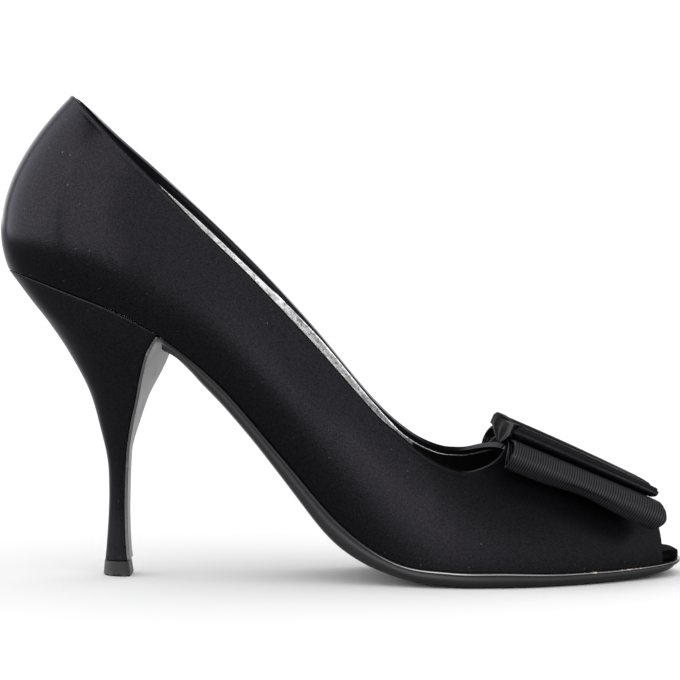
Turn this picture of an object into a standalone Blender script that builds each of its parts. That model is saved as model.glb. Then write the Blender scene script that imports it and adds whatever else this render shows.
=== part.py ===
"""A right-foot open-toe pump with a tall covered heel and a stacked ribbon bow.

Metres, +Z up, the toe towards +X and the outer (lateral) side of the foot towards -Y.
The floor is z = 0. Every piece follows one last: a closed loop of sections that runs from
the toe tip along the lateral side, round the heel and back along the medial side.
"""

import math
from collections import namedtuple

import bmesh
import bpy
import numpy as np

MM = 0.001

# Driving sizes of the last and the shoe
LENGTH = 0.2270  # back of the heel curve to the tip of the sole
BALL_WIDTH = 0.0744  # across the bottom of the last at the ball
HEEL_HEIGHT = 0.1030  # floor to the back edge of the heel seat

# Wall thicknesses and clearances
WALL = 0.0018  # satin, stiffening and lining together
GAP = 0.0003  # between pieces that touch
INSOLE_THICK = 0.0033
COVER_THICK = 0.0010
RIBBON_THICK = 0.0008
BAND_THICK = 0.0008

# Sole edge
SOLE_MARGIN = 0.0010  # how far the sole stands out past the upper
SOLE_EDGE_ROUND = 0.0011  # how far the side draws in before the bottom face
SOLE_EDGE_LIFT = 0.0012  # how far the rounded edge stands above the flat bottom

# Heel
SEAT_TURN = math.radians(4.0)  # the breast line turns a little outwards at the seat
SEAT_LATERAL = 4.93  # where the breast line meets the last's outline, in sections
SEAT_MEDIAL = 5.08
SOLE_START_LATERAL = 0.10  # how far in front of the breast line the sole begins, in sections
SOLE_START_MEDIAL = 0.13
COVER_START = 0.20  # the breast cover begins here, in heel rings below the seat

# Ends of the sole and the insole, in sections from the tip and from the back
SOLE_END = 0.03
INSOLE_END = 0.04
INSOLE_START = 0.12
TOE_EASE = 0.02  # share of LENGTH over which the insole comes out to the edge at the open toe
TOE_OUT = 0.0003  # how far it then stands out past the last

# Bow
BOW_SLOPE = math.radians(23.3)  # down towards the toe
BOW_YAW = math.radians(5.7)  # towards the medial side
BOW_SKEW = math.radians(3.3)  # the ribbons' ends turn this much further than the vamp
BOW_LIFT = 0.0001  # above the vamp at the throat
BAND_WIDTH = 0.0160
BAND_CROWN = 0.0012  # how far the band's middle swells out at the throat
BAND_CLEAR = 0.0015  # from the band's edge to where the loops begin to open
MID_REACH = 0.55  # shares of a loop's reach: where it is partly open,
FULL_REACH = 0.82  # where it is widest open
END_REACH = 0.96  # and where it turns round
LOW_SWELL = 0.35  # how far the lower layer has opened at MID_REACH
HIGH_SWELL = 0.45  # and the upper layer

# One row is one section of the last. Lengths along the shoe are shares of LENGTH from the
# back, breadths are shares of BALL_WIDTH and heights are shares of HEEL_HEIGHT. A wall starts
# on the bottom outline (lateral, medial, bottom), leaning out by lean degrees, and ends on the
# crest, which lies half to each side of centre, arriving at roll degrees below the level.
# low and high say how long each end holds its direction, as shares of the wall's height.
# facing is the way that the wall looks, from 0 at the toe to 180 at the back.
Section = namedtuple(
    "Section",
    "name along lateral medial bottom crest_along centre half crest"
    " facing yaw lean low roll high",
)
SECTIONS = [
    Section("back", 0.011, -0.040, 0.040, 0.997, 0.132, 0.040, 0.000, 1.612, 180, -4, 22, 0.25, 41, 0.64),
    Section("back_turn", 0.025, 0.112, 0.185, 0.991, 0.137, 0.040, 0.060, 1.607, 150, -4, 23, 0.25, 44, 0.60),
    Section("heel_rear", 0.058, 0.226, 0.296, 0.970, 0.150, 0.040, 0.121, 1.592, 125, -4, 23, 0.25, 50, 0.57),
    Section("heel_mid", 0.110, 0.304, 0.363, 0.930, 0.172, 0.036, 0.188, 1.553, 105, -4, 22, 0.25, 60, 0.52),
    Section("heel_front", 0.172, 0.331, 0.358, 0.876, 0.207, 0.027, 0.249, 1.485, 95, -3, 15, 0.29, 72, 0.45),
    Section("breast", 0.238, 0.323, 0.315, 0.794, 0.256, 0.013, 0.282, 1.359, 91, -2, 12, 0.29, 80, 0.43),
    Section("shank_rear", 0.322, 0.309, 0.262, 0.641, 0.335, 0.007, 0.296, 1.175, 90, 0, 14, 0.30, 84, 0.45),
    Section("shank", 0.410, 0.323, 0.242, 0.419, 0.419, 0.004, 0.269, 1.029, 90, 0, 14, 0.30, 78, 0.42),
    Section("waist", 0.498, 0.363, 0.269, 0.198, 0.507, 0.003, 0.188, 0.903, 90, 1, 8, 0.27, 60, 0.40),
    Section("waist_front", 0.577, 0.427, 0.345, 0.082, 0.582, 0.003, 0.094, 0.728, 90, 2, 4, 0.30, 35, 0.42),
    Section("ball_rear", 0.657, 0.490, 0.449, 0.056, 0.657, 0.004, 0.020, 0.539, 90, 4, 0, 0.41, 12, 0.49),
    Section("throat", 0.740, 0.489, 0.498, 0.053, 0.740, 0.008, 0.000, 0.422, 90, 5.7, 0, 0.45, 0, 0.45),
    Section("vamp", 0.811, 0.429, 0.486, 0.046, 0.809, 0.030, 0.000, 0.355, 90, 5.7, 0, 0.48, 0, 0.54),
    Section("toe_rear", 0.877, 0.329, 0.435, 0.045, 0.872, 0.051, 0.000, 0.287, 90, 5.7, 0, 0.51, 0, 0.61),
    Section("toe_side", 0.930, 0.219, 0.359, 0.0455, 0.919, 0.067, 0.000, 0.238, 90, 5.7, 0, 0.54, 0, 0.64),
    Section("opening", 0.971, 0.116, 0.272, 0.0485, 0.959, 0.077, 0.000, 0.197, 90, 5.7, 0, 0.63, 0, 0.67),
    Section("toe_turn", 0.989, 0.043, 0.191, 0.0515, 0.974, 0.075, 0.000, 0.146, 90, 5.7, 0, 0.63, 0, 0.67),
    Section("tip", 0.9962, -0.074, 0.074, 0.0535, 0.985, 0.074, 0.000, 0.087, 90, 5.7, 0, 0.63, 0, 0.67),
]
STATION = {row.name: i for i, row in enumerate(SECTIONS)}
TIP = STATION["tip"]

# The collar's edge in side view, from above the back of the heel to the throat: how high it
# stands on the lateral and on the medial side
CollarPoint = namedtuple("CollarPoint", "along lateral medial")
COLLAR = [
    CollarPoint(0.075, 1.565, 1.565),
    CollarPoint(0.104, 1.557, 1.557),
    CollarPoint(0.121, 1.530, 1.526),
    CollarPoint(0.150, 1.470, 1.458),
    CollarPoint(0.176, 1.408, 1.402),
    CollarPoint(0.234, 1.282, 1.289),
    CollarPoint(0.295, 1.144, 1.167),
    CollarPoint(0.353, 1.020, 1.043),
    CollarPoint(0.410, 0.890, 0.912),
    CollarPoint(0.469, 0.750, 0.766),
    CollarPoint(0.527, 0.605, 0.609),
    CollarPoint(0.555, 0.537, 0.538),
    CollarPoint(0.586, 0.480, 0.474),
    CollarPoint(0.617, 0.425, 0.426),
    CollarPoint(0.648, 0.385, 0.399),
    CollarPoint(0.670, 0.368, 0.395),
    CollarPoint(0.687, 0.364, 0.399),
    CollarPoint(0.709, 0.375, 0.415),
    CollarPoint(0.727, 0.394, 0.424),
    CollarPoint(0.740, 0.421, 0.421),
]

# Depth of the sole below the last at each place along the shoe, in millimetres, and how far
# its underside is drawn in from the edge there
SoleDepth = namedtuple("SoleDepth", "along depth_mm tuck_mm")
SOLE_DEPTHS = [
    SoleDepth(0.243, 4.3, 3.5),
    SoleDepth(0.262, 3.6, 3.5),
    SoleDepth(0.283, 4.5, 3.8),
    SoleDepth(0.302, 5.6, 4.0),
    SoleDepth(0.339, 6.4, 4.5),
    SoleDepth(0.383, 6.8, 4.5),
    SoleDepth(0.428, 8.0, 4.0),
    SoleDepth(0.467, 8.8, 3.5),
    SoleDepth(0.498, 8.3, 3.0),
    SoleDepth(0.529, 7.0, 2.6),
    SoleDepth(0.555, 5.9, 2.4),
    SoleDepth(0.586, 5.3, 3.4),
    SoleDepth(0.643, 5.6, 3.6),
    SoleDepth(0.701, 5.8, 3.6),
    SoleDepth(0.758, 5.6, 3.6),
    SoleDepth(0.815, 5.0, 3.2),
    SoleDepth(0.877, 4.7, 2.6),
    SoleDepth(0.930, 4.1, 1.4),
    SoleDepth(0.969, 3.4, 1.2),
    SoleDepth(0.998, 2.3, 0.8),
]

# Rings of the heel below the seat: its back line, its breast line, its half breadth and how
# many degrees the breast turns outwards
HeelRing = namedtuple("HeelRing", "back_along back front_along front half turn")
HEEL_RINGS = [
    HeelRing(0.0425, 0.901, 0.2300, 0.735, 0.282, 9),
    HeelRing(0.0716, 0.819, 0.2185, 0.662, 0.235, 9),
    HeelRing(0.1010, 0.721, 0.2055, 0.585, 0.182, 6),
    HeelRing(0.1300, 0.598, 0.1950, 0.507, 0.138, 5),
    HeelRing(0.1470, 0.466, 0.1860, 0.424, 0.105, 2),
    HeelRing(0.1560, 0.373, 0.1835, 0.361, 0.085, 2),
    HeelRing(0.1580, 0.282, 0.1820, 0.282, 0.073, 3),
    HeelRing(0.1570, 0.194, 0.1815, 0.194, 0.067, 3),
    HeelRing(0.1540, 0.097, 0.1830, 0.097, 0.069, 3),
    HeelRing(0.1520, 0.052, 0.1850, 0.052, 0.071, 3),
]
TIP_TOP = HeelRing(0.1512, 0.0485, 0.1885, 0.0485, 0.073, 3)
TIP_WAIST = HeelRing(0.1495, 0.0060, 0.1915, 0.0060, 0.077, 3)
TIP_FLOOR = HeelRing(0.1510, 0.0000, 0.1900, 0.0000, 0.073, 3)

# Ribbons of the bow. start and length run down the vamp, half is the reach to each side, low
# and high are the loop's lowest and highest points at the throat, high_toe its highest point at
# the toe end, and pinch_low and pinch_high are its two layers under the band, which draws the
# middle of the toe end in by waist. Millimetres, with heights above the line that the bow sits on.
Ribbon = namedtuple("Ribbon", "name start length half low high high_toe pinch_low pinch_high waist")
RIBBONS = [
    Ribbon("bow_lower_ribbon", -1.2, 54.1, 29.5, -4.4, 3.0, 3.0, 1.8, 3.0, 5.0),
    Ribbon("bow_upper_ribbon", -1.4, 49.7, 22.5, 4.3, 7.9, 5.8, 4.2, 5.4, 3.0),
]

# Colour, roughness and metallic value of each piece's material
Finish = namedtuple("Finish", "name red green blue roughness metallic")
FINISHES = [
    Finish("upper_satin", 0.016, 0.016, 0.018, 0.42, 0.0),
    Finish("sole_leather", 0.018, 0.017, 0.017, 0.28, 0.0),
    Finish("sock_leather", 0.030, 0.028, 0.028, 0.55, 0.0),
    Finish("heel_satin", 0.016, 0.016, 0.018, 0.42, 0.0),
    Finish("breast_leather", 0.020, 0.020, 0.021, 0.25, 0.0),
    Finish("tip_plastic", 0.030, 0.030, 0.032, 0.50, 0.0),
    Finish("ribbed_ribbon", 0.014, 0.014, 0.015, 0.60, 0.0),
    Finish("satin_ribbon", 0.018, 0.018, 0.020, 0.50, 0.0),
    Finish("band_ribbon", 0.018, 0.018, 0.020, 0.50, 0.0),
]

# Mesh density
BOTTOM_STEPS = 40
TABLE_STEPS = 12
HALVINGS = 40  # of the search for the collar on a wall
LOWEST_COLLAR = 0.3  # share of the wall that is always below the collar
NORMAL_STEP = 0.02  # to each side of a place when a direction is measured there
WALL_ROWS = 9
SECTION_STEPS = 3
THROAT_STEPS = 8  # closer steps where the collar turns across the foot
SOLE_STEPS = 3
SOLE_ACROSS = 4
HEEL_RING_STEPS = 2
BREAST_POINTS = 6
LOOP_STEPS = 4
RIBBON_STEPS = 6
BAND_STEPS = 4
BAND_ACROSS = 4
KNOT_STEPS = 4


def catmull(rows, place, closed=False):
    """Point at a place along rows, on a smooth curve that passes through each of them."""
    count = len(rows)
    first = math.floor(place)
    share = place - first
    index = [first - 1, first, first + 1, first + 2]
    if closed:
        before, a, b, after = (rows[i % count] for i in index)
    else:
        before, a, b, after = (rows[min(max(i, 0), count - 1)] for i in index)
    slope_a, slope_b = (b - before) / 2, (after - a) / 2
    square, cube = share**2, share**3
    return (
        a * (2 * cube - 3 * square + 1)
        + slope_a * (cube - 2 * square + share)
        + b * (3 * square - 2 * cube)
        + slope_b * (cube - square)
    )


def along_to_x(along):
    return (along - 0.5) * LENGTH


def x_to_along(x):
    return x / LENGTH + 0.5


def section_values(row, side):
    """Foot point, crest point and wall directions of one section on one side (-1 lateral, 1 medial)."""
    breadth = row.medial if side > 0 else row.lateral
    facing = 180 - side * (180 - row.facing) + row.yaw
    return np.array([
        along_to_x(row.along), side * breadth * BALL_WIDTH, row.bottom * HEEL_HEIGHT,
        along_to_x(row.crest_along), (row.centre + side * row.half) * BALL_WIDTH,
        row.crest * HEEL_HEIGHT,
        facing, row.lean, row.low, row.roll, row.high,
    ])


LATERAL_ROWS = [section_values(row, -1) for row in reversed(SECTIONS)]
MEDIAL_ROWS = [section_values(row, 1) for row in SECTIONS[1:-1]]
LAST_LOOP = LATERAL_ROWS + MEDIAL_ROWS


def section_at(station, side):
    """The section's values at a station counted from the back (0) to the tip."""
    return catmull(LAST_LOOP, TIP + side * station, closed=True)


def foot_point(station, side):
    return section_at(station, side)[:3]


def outline_normal(station, side):
    """Level direction out of the last's bottom outline."""
    place = TIP + side * station
    ahead = catmull(LAST_LOOP, place + NORMAL_STEP, closed=True)
    behind = catmull(LAST_LOOP, place - NORMAL_STEP, closed=True)
    run = ahead[:2] - behind[:2]
    normal = np.array([-run[1], run[0], 0.0])
    return normal / np.linalg.norm(normal)


BOTTOM_PLACES = np.linspace(0, TIP, BOTTOM_STEPS * TIP + 1)
BOTTOM_LINE = np.array([foot_point(station, 1) for station in BOTTOM_PLACES])


def bottom_height(x):
    """Height of the last's bottom at a place along the shoe."""
    return np.interp(x, BOTTOM_LINE[:, 0], BOTTOM_LINE[:, 2])


def edge_point(station, side, out, rise=0.0):
    """A point beside the last's bottom outline, out from it and above it."""
    point = foot_point(station, side) + outline_normal(station, side) * out
    point[2] = bottom_height(point[0]) + rise
    return point


def wall_controls(station, side):
    """The four points that steer a wall from the bottom outline up to the crest."""
    values = section_at(station, side)
    foot, crest = values[:3], values[3:6]
    facing, lean, low, roll, high = values[6:]
    turn, lean, roll = (math.radians(angle) for angle in (facing, lean, roll))
    out = np.array([math.cos(turn), math.sin(turn), 0.0])
    up = np.array([0.0, 0.0, 1.0])
    height = crest[2] - foot[2]
    start = foot + (out * math.sin(lean) + up * math.cos(lean)) * low * height
    end = crest + (out * math.cos(roll) - up * math.sin(roll)) * high * height
    return foot, start, end, crest


def wall_point(controls, share):
    """Point on the wall, from the bottom outline (0) to the crest (1)."""
    foot, start, end, crest = controls
    rest = 1 - share
    return rest**3 * foot + 3 * rest**2 * share * start + 3 * rest * share**2 * end + share**3 * crest


def smooth_table(rows):
    """Rows of along and values, smoothed and filled in, as columns."""
    rows = [np.array(row) for row in rows]
    places = np.linspace(0, len(rows) - 1, TABLE_STEPS * (len(rows) - 1) + 1)
    return np.array([catmull(rows, place) for place in places]).T


COLLAR_ALONG, COLLAR_LATERAL, COLLAR_MEDIAL = smooth_table(COLLAR)
SOLE_ALONG, SOLE_DEPTH_MM, SOLE_TUCK_MM = smooth_table(SOLE_DEPTHS)


def above_collar(point, side):
    """How far a point stands above the collar's edge in side view."""
    along = x_to_along(point[0])
    heights = COLLAR_MEDIAL if side > 0 else COLLAR_LATERAL
    return point[2] - np.interp(along, COLLAR_ALONG, heights) * HEEL_HEIGHT


def collar_share(controls, station, side):
    """Share of the wall that lies below the collar. In front of the throat it is all of it."""
    if station >= STATION["throat"]:
        return 1.0
    low, high = LOWEST_COLLAR, 1.0
    for _ in range(HALVINGS):
        middle = (low + high) / 2
        if above_collar(wall_point(controls, middle), side) < 0:
            low = middle
        else:
            high = middle
    return low


def side_stations():
    """Stations from the back to the toe opening, closer together at the throat."""
    stations = []
    for start in range(STATION["opening"]):
        at_throat = start + 1 == STATION["throat"]
        steps = THROAT_STEPS if at_throat else SECTION_STEPS
        for step in range(steps):
            share = step / steps
            stations.append(start + (1 - (1 - share) ** 2 if at_throat else share))
    stations.append(float(STATION["opening"]))
    return stations


def make_object(name, vertices, faces, material, smooth=True):
    """A mesh object with its faces turned outwards where it is closed."""
    mesh = bpy.data.meshes.new(name)
    mesh.from_pydata([tuple(v) for v in vertices], [], [tuple(f) for f in faces])
    mesh.validate()
    body = bmesh.new()
    body.from_mesh(mesh)
    bmesh.ops.remove_doubles(body, verts=body.verts, dist=1e-6)
    if all(len(edge.link_faces) == 2 for edge in body.edges):
        bmesh.ops.recalc_face_normals(body, faces=body.faces)
    body.to_mesh(mesh)
    body.free()
    for polygon in mesh.polygons:
        polygon.use_smooth = smooth
    thing = bpy.data.objects.new(name, mesh)
    bpy.context.scene.collection.objects.link(thing)
    mesh.materials.append(material)
    return thing


def make_material(finish):
    material = bpy.data.materials.new(finish.name)
    material.use_nodes = True
    surface = material.node_tree.nodes["Principled BSDF"]
    surface.inputs["Base Color"].default_value = (finish.red, finish.green, finish.blue, 1.0)
    surface.inputs["Roughness"].default_value = finish.roughness
    surface.inputs["Metallic"].default_value = finish.metallic
    return material


def thicken(thing, thickness, offset):
    """Give a sheet its true thickness. Offset -1 grows it inwards, 1 outwards and 0 both ways."""
    solid = thing.modifiers.new("thickness", "SOLIDIFY")
    solid.thickness = thickness
    solid.offset = offset
    solid.use_rim = True


def grid_faces(columns, rows, wrap=False):
    """Quads of a grid that is stored column by column."""
    last = columns if wrap else columns - 1
    faces = []
    for c in range(last):
        d = (c + 1) % columns
        for r in range(rows - 1):
            faces.append((d * rows + r, c * rows + r, c * rows + r + 1, d * rows + r + 1))
    return faces


def ring_faces(rings, points):
    """Quads that join rings of points, each ring closed on itself."""
    faces = []
    for i in range(rings - 1):
        for j in range(points):
            k = (j + 1) % points
            faces.append((i * points + j, i * points + k, (i + 1) * points + k, (i + 1) * points + j))
    return faces


def make_upper(material):
    """The hollow satin wall: both sides of the last from the bottom edge to the collar."""
    stations = side_stations()
    places = [(s, -1) for s in reversed(stations)] + [(s, 1) for s in stations[1:]]
    columns = len(places)
    vertices = []
    for station, side in places:
        controls = wall_controls(station, side)
        top = collar_share(controls, station, side)
        for row in range(WALL_ROWS + 1):
            vertices.append(wall_point(controls, top * row / WALL_ROWS))
    rows = WALL_ROWS + 1
    for column, (station, side) in enumerate(places):
        if side < 0 and station >= STATION["throat"]:
            across = columns - 1 - column
            near, far = column * rows + WALL_ROWS, across * rows + WALL_ROWS
            ridge = (vertices[near] + vertices[far]) / 2
            vertices[near] = vertices[far] = ridge
    upper = make_object("upper", vertices, grid_faces(columns, rows), material)
    thicken(upper, WALL, -1)
    return upper


def sole_ring(lateral_station, medial_station):
    """One ring round the sole: across the top, down the medial side and back underneath."""
    ring = []
    sides = []
    for station, side in ((lateral_station, -1), (medial_station, 1)):
        foot = foot_point(station, side)
        along = x_to_along(foot[0])
        depth = np.interp(along, SOLE_ALONG, SOLE_DEPTH_MM) * MM
        tuck = np.interp(along, SOLE_ALONG, SOLE_TUCK_MM) * MM
        top = edge_point(station, side, SOLE_MARGIN, -GAP)
        middle = edge_point(station, side, SOLE_MARGIN, -GAP - depth / 2)
        low = edge_point(station, side, SOLE_MARGIN - SOLE_EDGE_ROUND, SOLE_EDGE_LIFT - depth)
        floor = edge_point(station, side, SOLE_MARGIN - SOLE_EDGE_ROUND - tuck, -depth)
        floor[2] = max(floor[2], 0.0)
        sides.append((top, middle, low, floor))
    lateral, medial = sides
    shares = np.linspace(0, 1, SOLE_ACROSS + 1)
    for share in shares:
        ring.append(lateral[0] * (1 - share) + medial[0] * share)
    ring.extend(medial[1:])
    for share in reversed(shares[1:-1]):
        ring.append(lateral[3] * (1 - share) + medial[3] * share)
    ring.extend(reversed(lateral[1:]))
    return ring


def make_outsole(material):
    """The leather sole from the heel's breast to the toe tip."""
    count = SOLE_STEPS * (TIP - STATION["breast"]) + 1
    end = TIP - SOLE_END
    lateral = np.linspace(SEAT_LATERAL + SOLE_START_LATERAL, end, count)
    medial = np.linspace(SEAT_MEDIAL + SOLE_START_MEDIAL, end, count)
    rings = [sole_ring(a, b) for a, b in zip(lateral, medial)]
    points = len(rings[0])
    faces = ring_faces(count, points)
    faces.append(tuple(range(points)))
    faces.append(tuple(range((count - 1) * points, count * points)))
    vertices = [point for ring in rings for point in ring]
    return make_object("outsole", vertices, faces, material, smooth=False)


def insole_inset(along):
    """The insole fits inside the wall, and comes out to the edge where the toe is open."""
    inside = WALL + 2 * GAP
    toe = np.clip((along - SECTIONS[STATION["opening"]].along) / TOE_EASE, 0.0, 1.0)
    return inside - (TOE_OUT + inside) * toe


def make_insole(material):
    """The board and sock under the foot, a sheet thickened upwards."""
    count = SOLE_STEPS * TIP + 1
    vertices = []
    for station in np.linspace(INSOLE_START, TIP - INSOLE_END, count):
        edges = []
        for side in (-1, 1):
            along = x_to_along(foot_point(station, side)[0])
            edges.append(edge_point(station, side, -insole_inset(along), GAP / 2))
        vertices.extend((edges[0], (edges[0] + edges[1]) / 2, edges[1]))
    insole = make_object("insole", vertices, grid_faces(count, 3), material)
    thicken(insole, INSOLE_THICK, -1)
    return insole


def heel_centre(x):
    """Sideways place of the heel's middle line, from the back of the seat to its breast."""
    back = foot_point(0, 1)
    front = (foot_point(SEAT_LATERAL, -1) + foot_point(SEAT_MEDIAL, 1)) / 2
    return np.interp(x, [back[0], front[0]], [back[1], front[1]])


def seat_outline():
    """Heel seat outline as shares: depth from breast (0) to back (1) and reach from side to side."""
    back = foot_point(0, 1)
    lateral, medial = foot_point(SEAT_LATERAL, -1), foot_point(SEAT_MEDIAL, 1)
    front = (lateral + medial) / 2
    half = (medial[1] - lateral[1]) / 2
    steps = SECTION_STEPS * STATION["breast"]
    places = [(s, -1) for s in np.linspace(SEAT_LATERAL, 0, steps + 1)]
    places += [(s, 1) for s in np.linspace(0, SEAT_MEDIAL, steps + 1)[1:]]
    outline = []
    for station, side in places:
        foot = foot_point(station, side)
        reach = (foot[1] - heel_centre(foot[0])) / half
        skew = reach * half * math.tan(SEAT_TURN)
        depth = (foot[0] - front[0] - skew) / (back[0] - front[0] - skew)
        outline.append((max(depth, 0.0), reach, foot - np.array([0.0, 0.0, GAP])))
    return outline


def heel_place(ring, depth, reach):
    """A point of a heel ring from its shares of depth and reach."""
    half = ring.half * BALL_WIDTH
    front_x, back_x = along_to_x(ring.front_along), along_to_x(ring.back_along)
    skew = reach * half * math.tan(math.radians(ring.turn)) * (1 - depth)
    x = front_x + depth * (back_x - front_x) + skew
    z = (ring.front + depth * (ring.back - ring.front)) * HEEL_HEIGHT
    middle = heel_centre(front_x + depth * (back_x - front_x))
    return np.array([x, middle + reach * half, z])


def breast_reaches():
    return np.linspace(1.0, -1.0, BREAST_POINTS)[1:-1]


def heel_rings(outline):
    """Rings of points from the seat down to the tip, with the breast's points last in each."""
    seat = [point for _, _, point in outline]
    medial, lateral = seat[-1], seat[0]
    seat += [medial + (lateral - medial) * (1 - reach) / 2 for reach in breast_reaches()]
    rows = [np.array(seat)]
    for ring in HEEL_RINGS:
        points = [heel_place(ring, depth, reach) for depth, reach, _ in outline]
        points += [heel_place(ring, 0.0, reach) for reach in breast_reaches()]
        rows.append(np.array(points))
    return rows


def make_heel(rows, rounds, material):
    """The covered heel: the seat's outline drawn down into a slim stem."""
    places = np.linspace(0, len(rows) - 1, HEEL_RING_STEPS * (len(rows) - 1) + 1)
    rings = [catmull(rows, place) for place in places]
    points = len(rings[0])
    faces = ring_faces(len(rings), points)
    back = rounds // 2
    faces.append((0, 1, rounds - 2, *range(rounds - 1, points)))
    for i in range(1, back - 1):
        faces.append((i, i + 1, rounds - 2 - i, rounds - 1 - i))
    faces.append((back - 1, back, back + 1))
    faces.append(tuple(range((len(rings) - 1) * points, len(rings) * points)))
    vertices = [point for ring in rings for point in ring]
    return make_object("heel", vertices, faces, material)


def make_breast_cover(rows, rounds, material):
    """The leather facing on the front of the heel."""
    places = np.linspace(COVER_START, len(rows) - 1, HEEL_RING_STEPS * (len(rows) - 1))
    vertices = []
    for place in places:
        ring = catmull(rows, place)
        line = [ring[rounds - 1], *ring[rounds:], ring[0]]
        below = catmull(rows, min(place + NORMAL_STEP, len(rows) - 1))
        slope = below - catmull(rows, place - NORMAL_STEP)
        down = slope[rounds] / np.linalg.norm(slope[rounds])
        forward = np.array([-down[2], 0.0, down[0]])
        vertices.extend(point + forward * (GAP + COVER_THICK / 2) for point in line)
    cover = make_object("heel_breast_cover", vertices, grid_faces(len(places), BREAST_POINTS), material)
    thicken(cover, COVER_THICK, 0)
    return cover


def make_tip(outline, material):
    """The plastic piece that the heel stands on."""
    rings = []
    for ring in (TIP_TOP, TIP_WAIST, TIP_FLOOR):
        points = [heel_place(ring, depth, reach) for depth, reach, _ in outline]
        rings.append(points + [heel_place(ring, 0.0, reach) for reach in breast_reaches()])
    points = len(rings[0])
    faces = ring_faces(len(rings), points)
    faces.append(tuple(range(points)))
    faces.append(tuple(range((len(rings) - 1) * points, len(rings) * points)))
    vertices = [point for ring in rings for point in ring]
    return make_object("heel_top_piece", vertices, faces, material, smooth=False)


def bow_point(run, reach, height):
    """A place on the bow: down the vamp, to the medial side and out from it."""
    throat = wall_controls(STATION["throat"], 1)[3]
    forward = np.array([math.cos(BOW_YAW), math.sin(BOW_YAW), 0.0])
    across = np.array([-math.sin(BOW_YAW), math.cos(BOW_YAW), 0.0])
    down = forward * math.cos(BOW_SLOPE) - np.array([0.0, 0.0, math.sin(BOW_SLOPE)])
    out = np.cross(down, across)
    slide = run - reach * math.tan(BOW_SKEW)
    return throat + down * slide + across * reach + out * (height + BOW_LIFT)


def loop_path(ribbon, share):
    """The ribbon's section at a share of its length: two loops, pinched together at the middle."""
    half = ribbon.half - RIBBON_THICK / 2 / MM
    high = ribbon.high + (ribbon.high_toe - ribbon.high) * share**2
    low_mid = ribbon.pinch_low + (ribbon.low - ribbon.pinch_low) * LOW_SWELL
    high_mid = ribbon.pinch_high + (high - ribbon.pinch_high) * HIGH_SWELL
    middle = (ribbon.low + high) / 2
    flat = (BAND_WIDTH / 2 + BAND_CLEAR) / MM
    medial = [
        (flat, ribbon.pinch_low),
        (half * MID_REACH, low_mid),
        (half * FULL_REACH, ribbon.low),
        (half * END_REACH, (ribbon.low + middle) / 2),
        (half, middle),
        (half * END_REACH, (high + middle) / 2),
        (half * FULL_REACH, high),
        (half * MID_REACH, high_mid),
        (flat, ribbon.pinch_high),
    ]
    lateral = [(-reach, height) for reach, height in reversed(medial)]
    centre_low = (0.0, ribbon.pinch_low)
    centre_high = (0.0, ribbon.pinch_high)
    rows = [np.array(point) * MM for point in [centre_low, *medial, centre_high, *lateral]]
    return [catmull(rows, place / LOOP_STEPS, closed=True) for place in range(len(rows) * LOOP_STEPS)]


def waist_at(ribbon, reach):
    """How far a ribbon's toe end is drawn in, least at its loops and most under the band."""
    under = BAND_WIDTH / 2 + BAND_CLEAR
    share = max(abs(reach) - under, 0.0) / (ribbon.half * MM - under)
    return ribbon.waist * MM * (1 - share) ** 2


def make_ribbon(ribbon, material):
    """A ribbon folded into two loops, its width running down the vamp."""
    shares = np.linspace(0, 1, RIBBON_STEPS + 1)
    paths = [loop_path(ribbon, share) for share in shares]
    runs = (ribbon.start + ribbon.length * shares) * MM
    vertices = []
    for i in range(len(paths[0])):
        for share, run, path in zip(shares, runs, paths):
            reach, height = path[i]
            vertices.append(bow_point(run - waist_at(ribbon, reach) * share**2, reach, height))
    faces = grid_faces(len(paths[0]), len(runs), wrap=True)
    thing = make_object(ribbon.name, vertices, faces, material)
    thicken(thing, RIBBON_THICK, 0)
    return thing


def make_band(material):
    """The band round the middle of both ribbons, a closed loop down the vamp and back."""
    lower, upper = RIBBONS
    clear = (RIBBON_THICK + BAND_THICK) / 2 + GAP
    past = BAND_THICK / 2 + GAP
    bottom = lower.pinch_low * MM - clear
    step = lower.pinch_high * MM + clear
    top = upper.pinch_high * MM + clear
    start = min(lower.start, upper.start) * MM - past
    lower_end = (lower.start + lower.length - lower.waist) * MM + past
    upper_end = (upper.start + upper.length - upper.waist) * MM + past
    path = [(run, bottom, 0.0) for run in np.linspace(start, lower_end, BAND_STEPS + 1)]
    path += [(lower_end, step, 0.0), (upper_end, step, 0.0)]
    path += [(run, top, 0.0) for run in np.linspace(upper_end, start, BAND_STEPS + 1)]
    for share in np.linspace(0, 1, KNOT_STEPS + 1)[1:-1]:
        path.append((start, top + (bottom - top) * share, BAND_CROWN * math.sin(math.pi * share)))
    shares = np.linspace(-1, 1, BAND_ACROSS + 1)
    vertices = []
    for run, height, crown in path:
        for share in shares:
            vertices.append(bow_point(run - crown * (1 - share**2), share * BAND_WIDTH / 2, height))
    faces = grid_faces(len(path), len(shares), wrap=True)
    band = make_object("bow_band", vertices, faces, material, smooth=False)
    thicken(band, BAND_THICK, 0)
    return band


def build_pump():
    """Clear the scene, then make every piece with a material of its own."""
    for old in list(bpy.data.objects):
        bpy.data.objects.remove(old)
    finish = {row.name: make_material(row) for row in FINISHES}
    make_upper(finish["upper_satin"])
    make_outsole(finish["sole_leather"])
    make_insole(finish["sock_leather"])
    seat = seat_outline()
    rows = heel_rings(seat)
    make_heel(rows, len(seat), finish["heel_satin"])
    make_breast_cover(rows, len(seat), finish["breast_leather"])
    make_tip(seat, finish["tip_plastic"])
    for ribbon, cloth in zip(RIBBONS, ("ribbed_ribbon", "satin_ribbon")):
        make_ribbon(ribbon, finish[cloth])
    make_band(finish["band_ribbon"])


build_pump()
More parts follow.
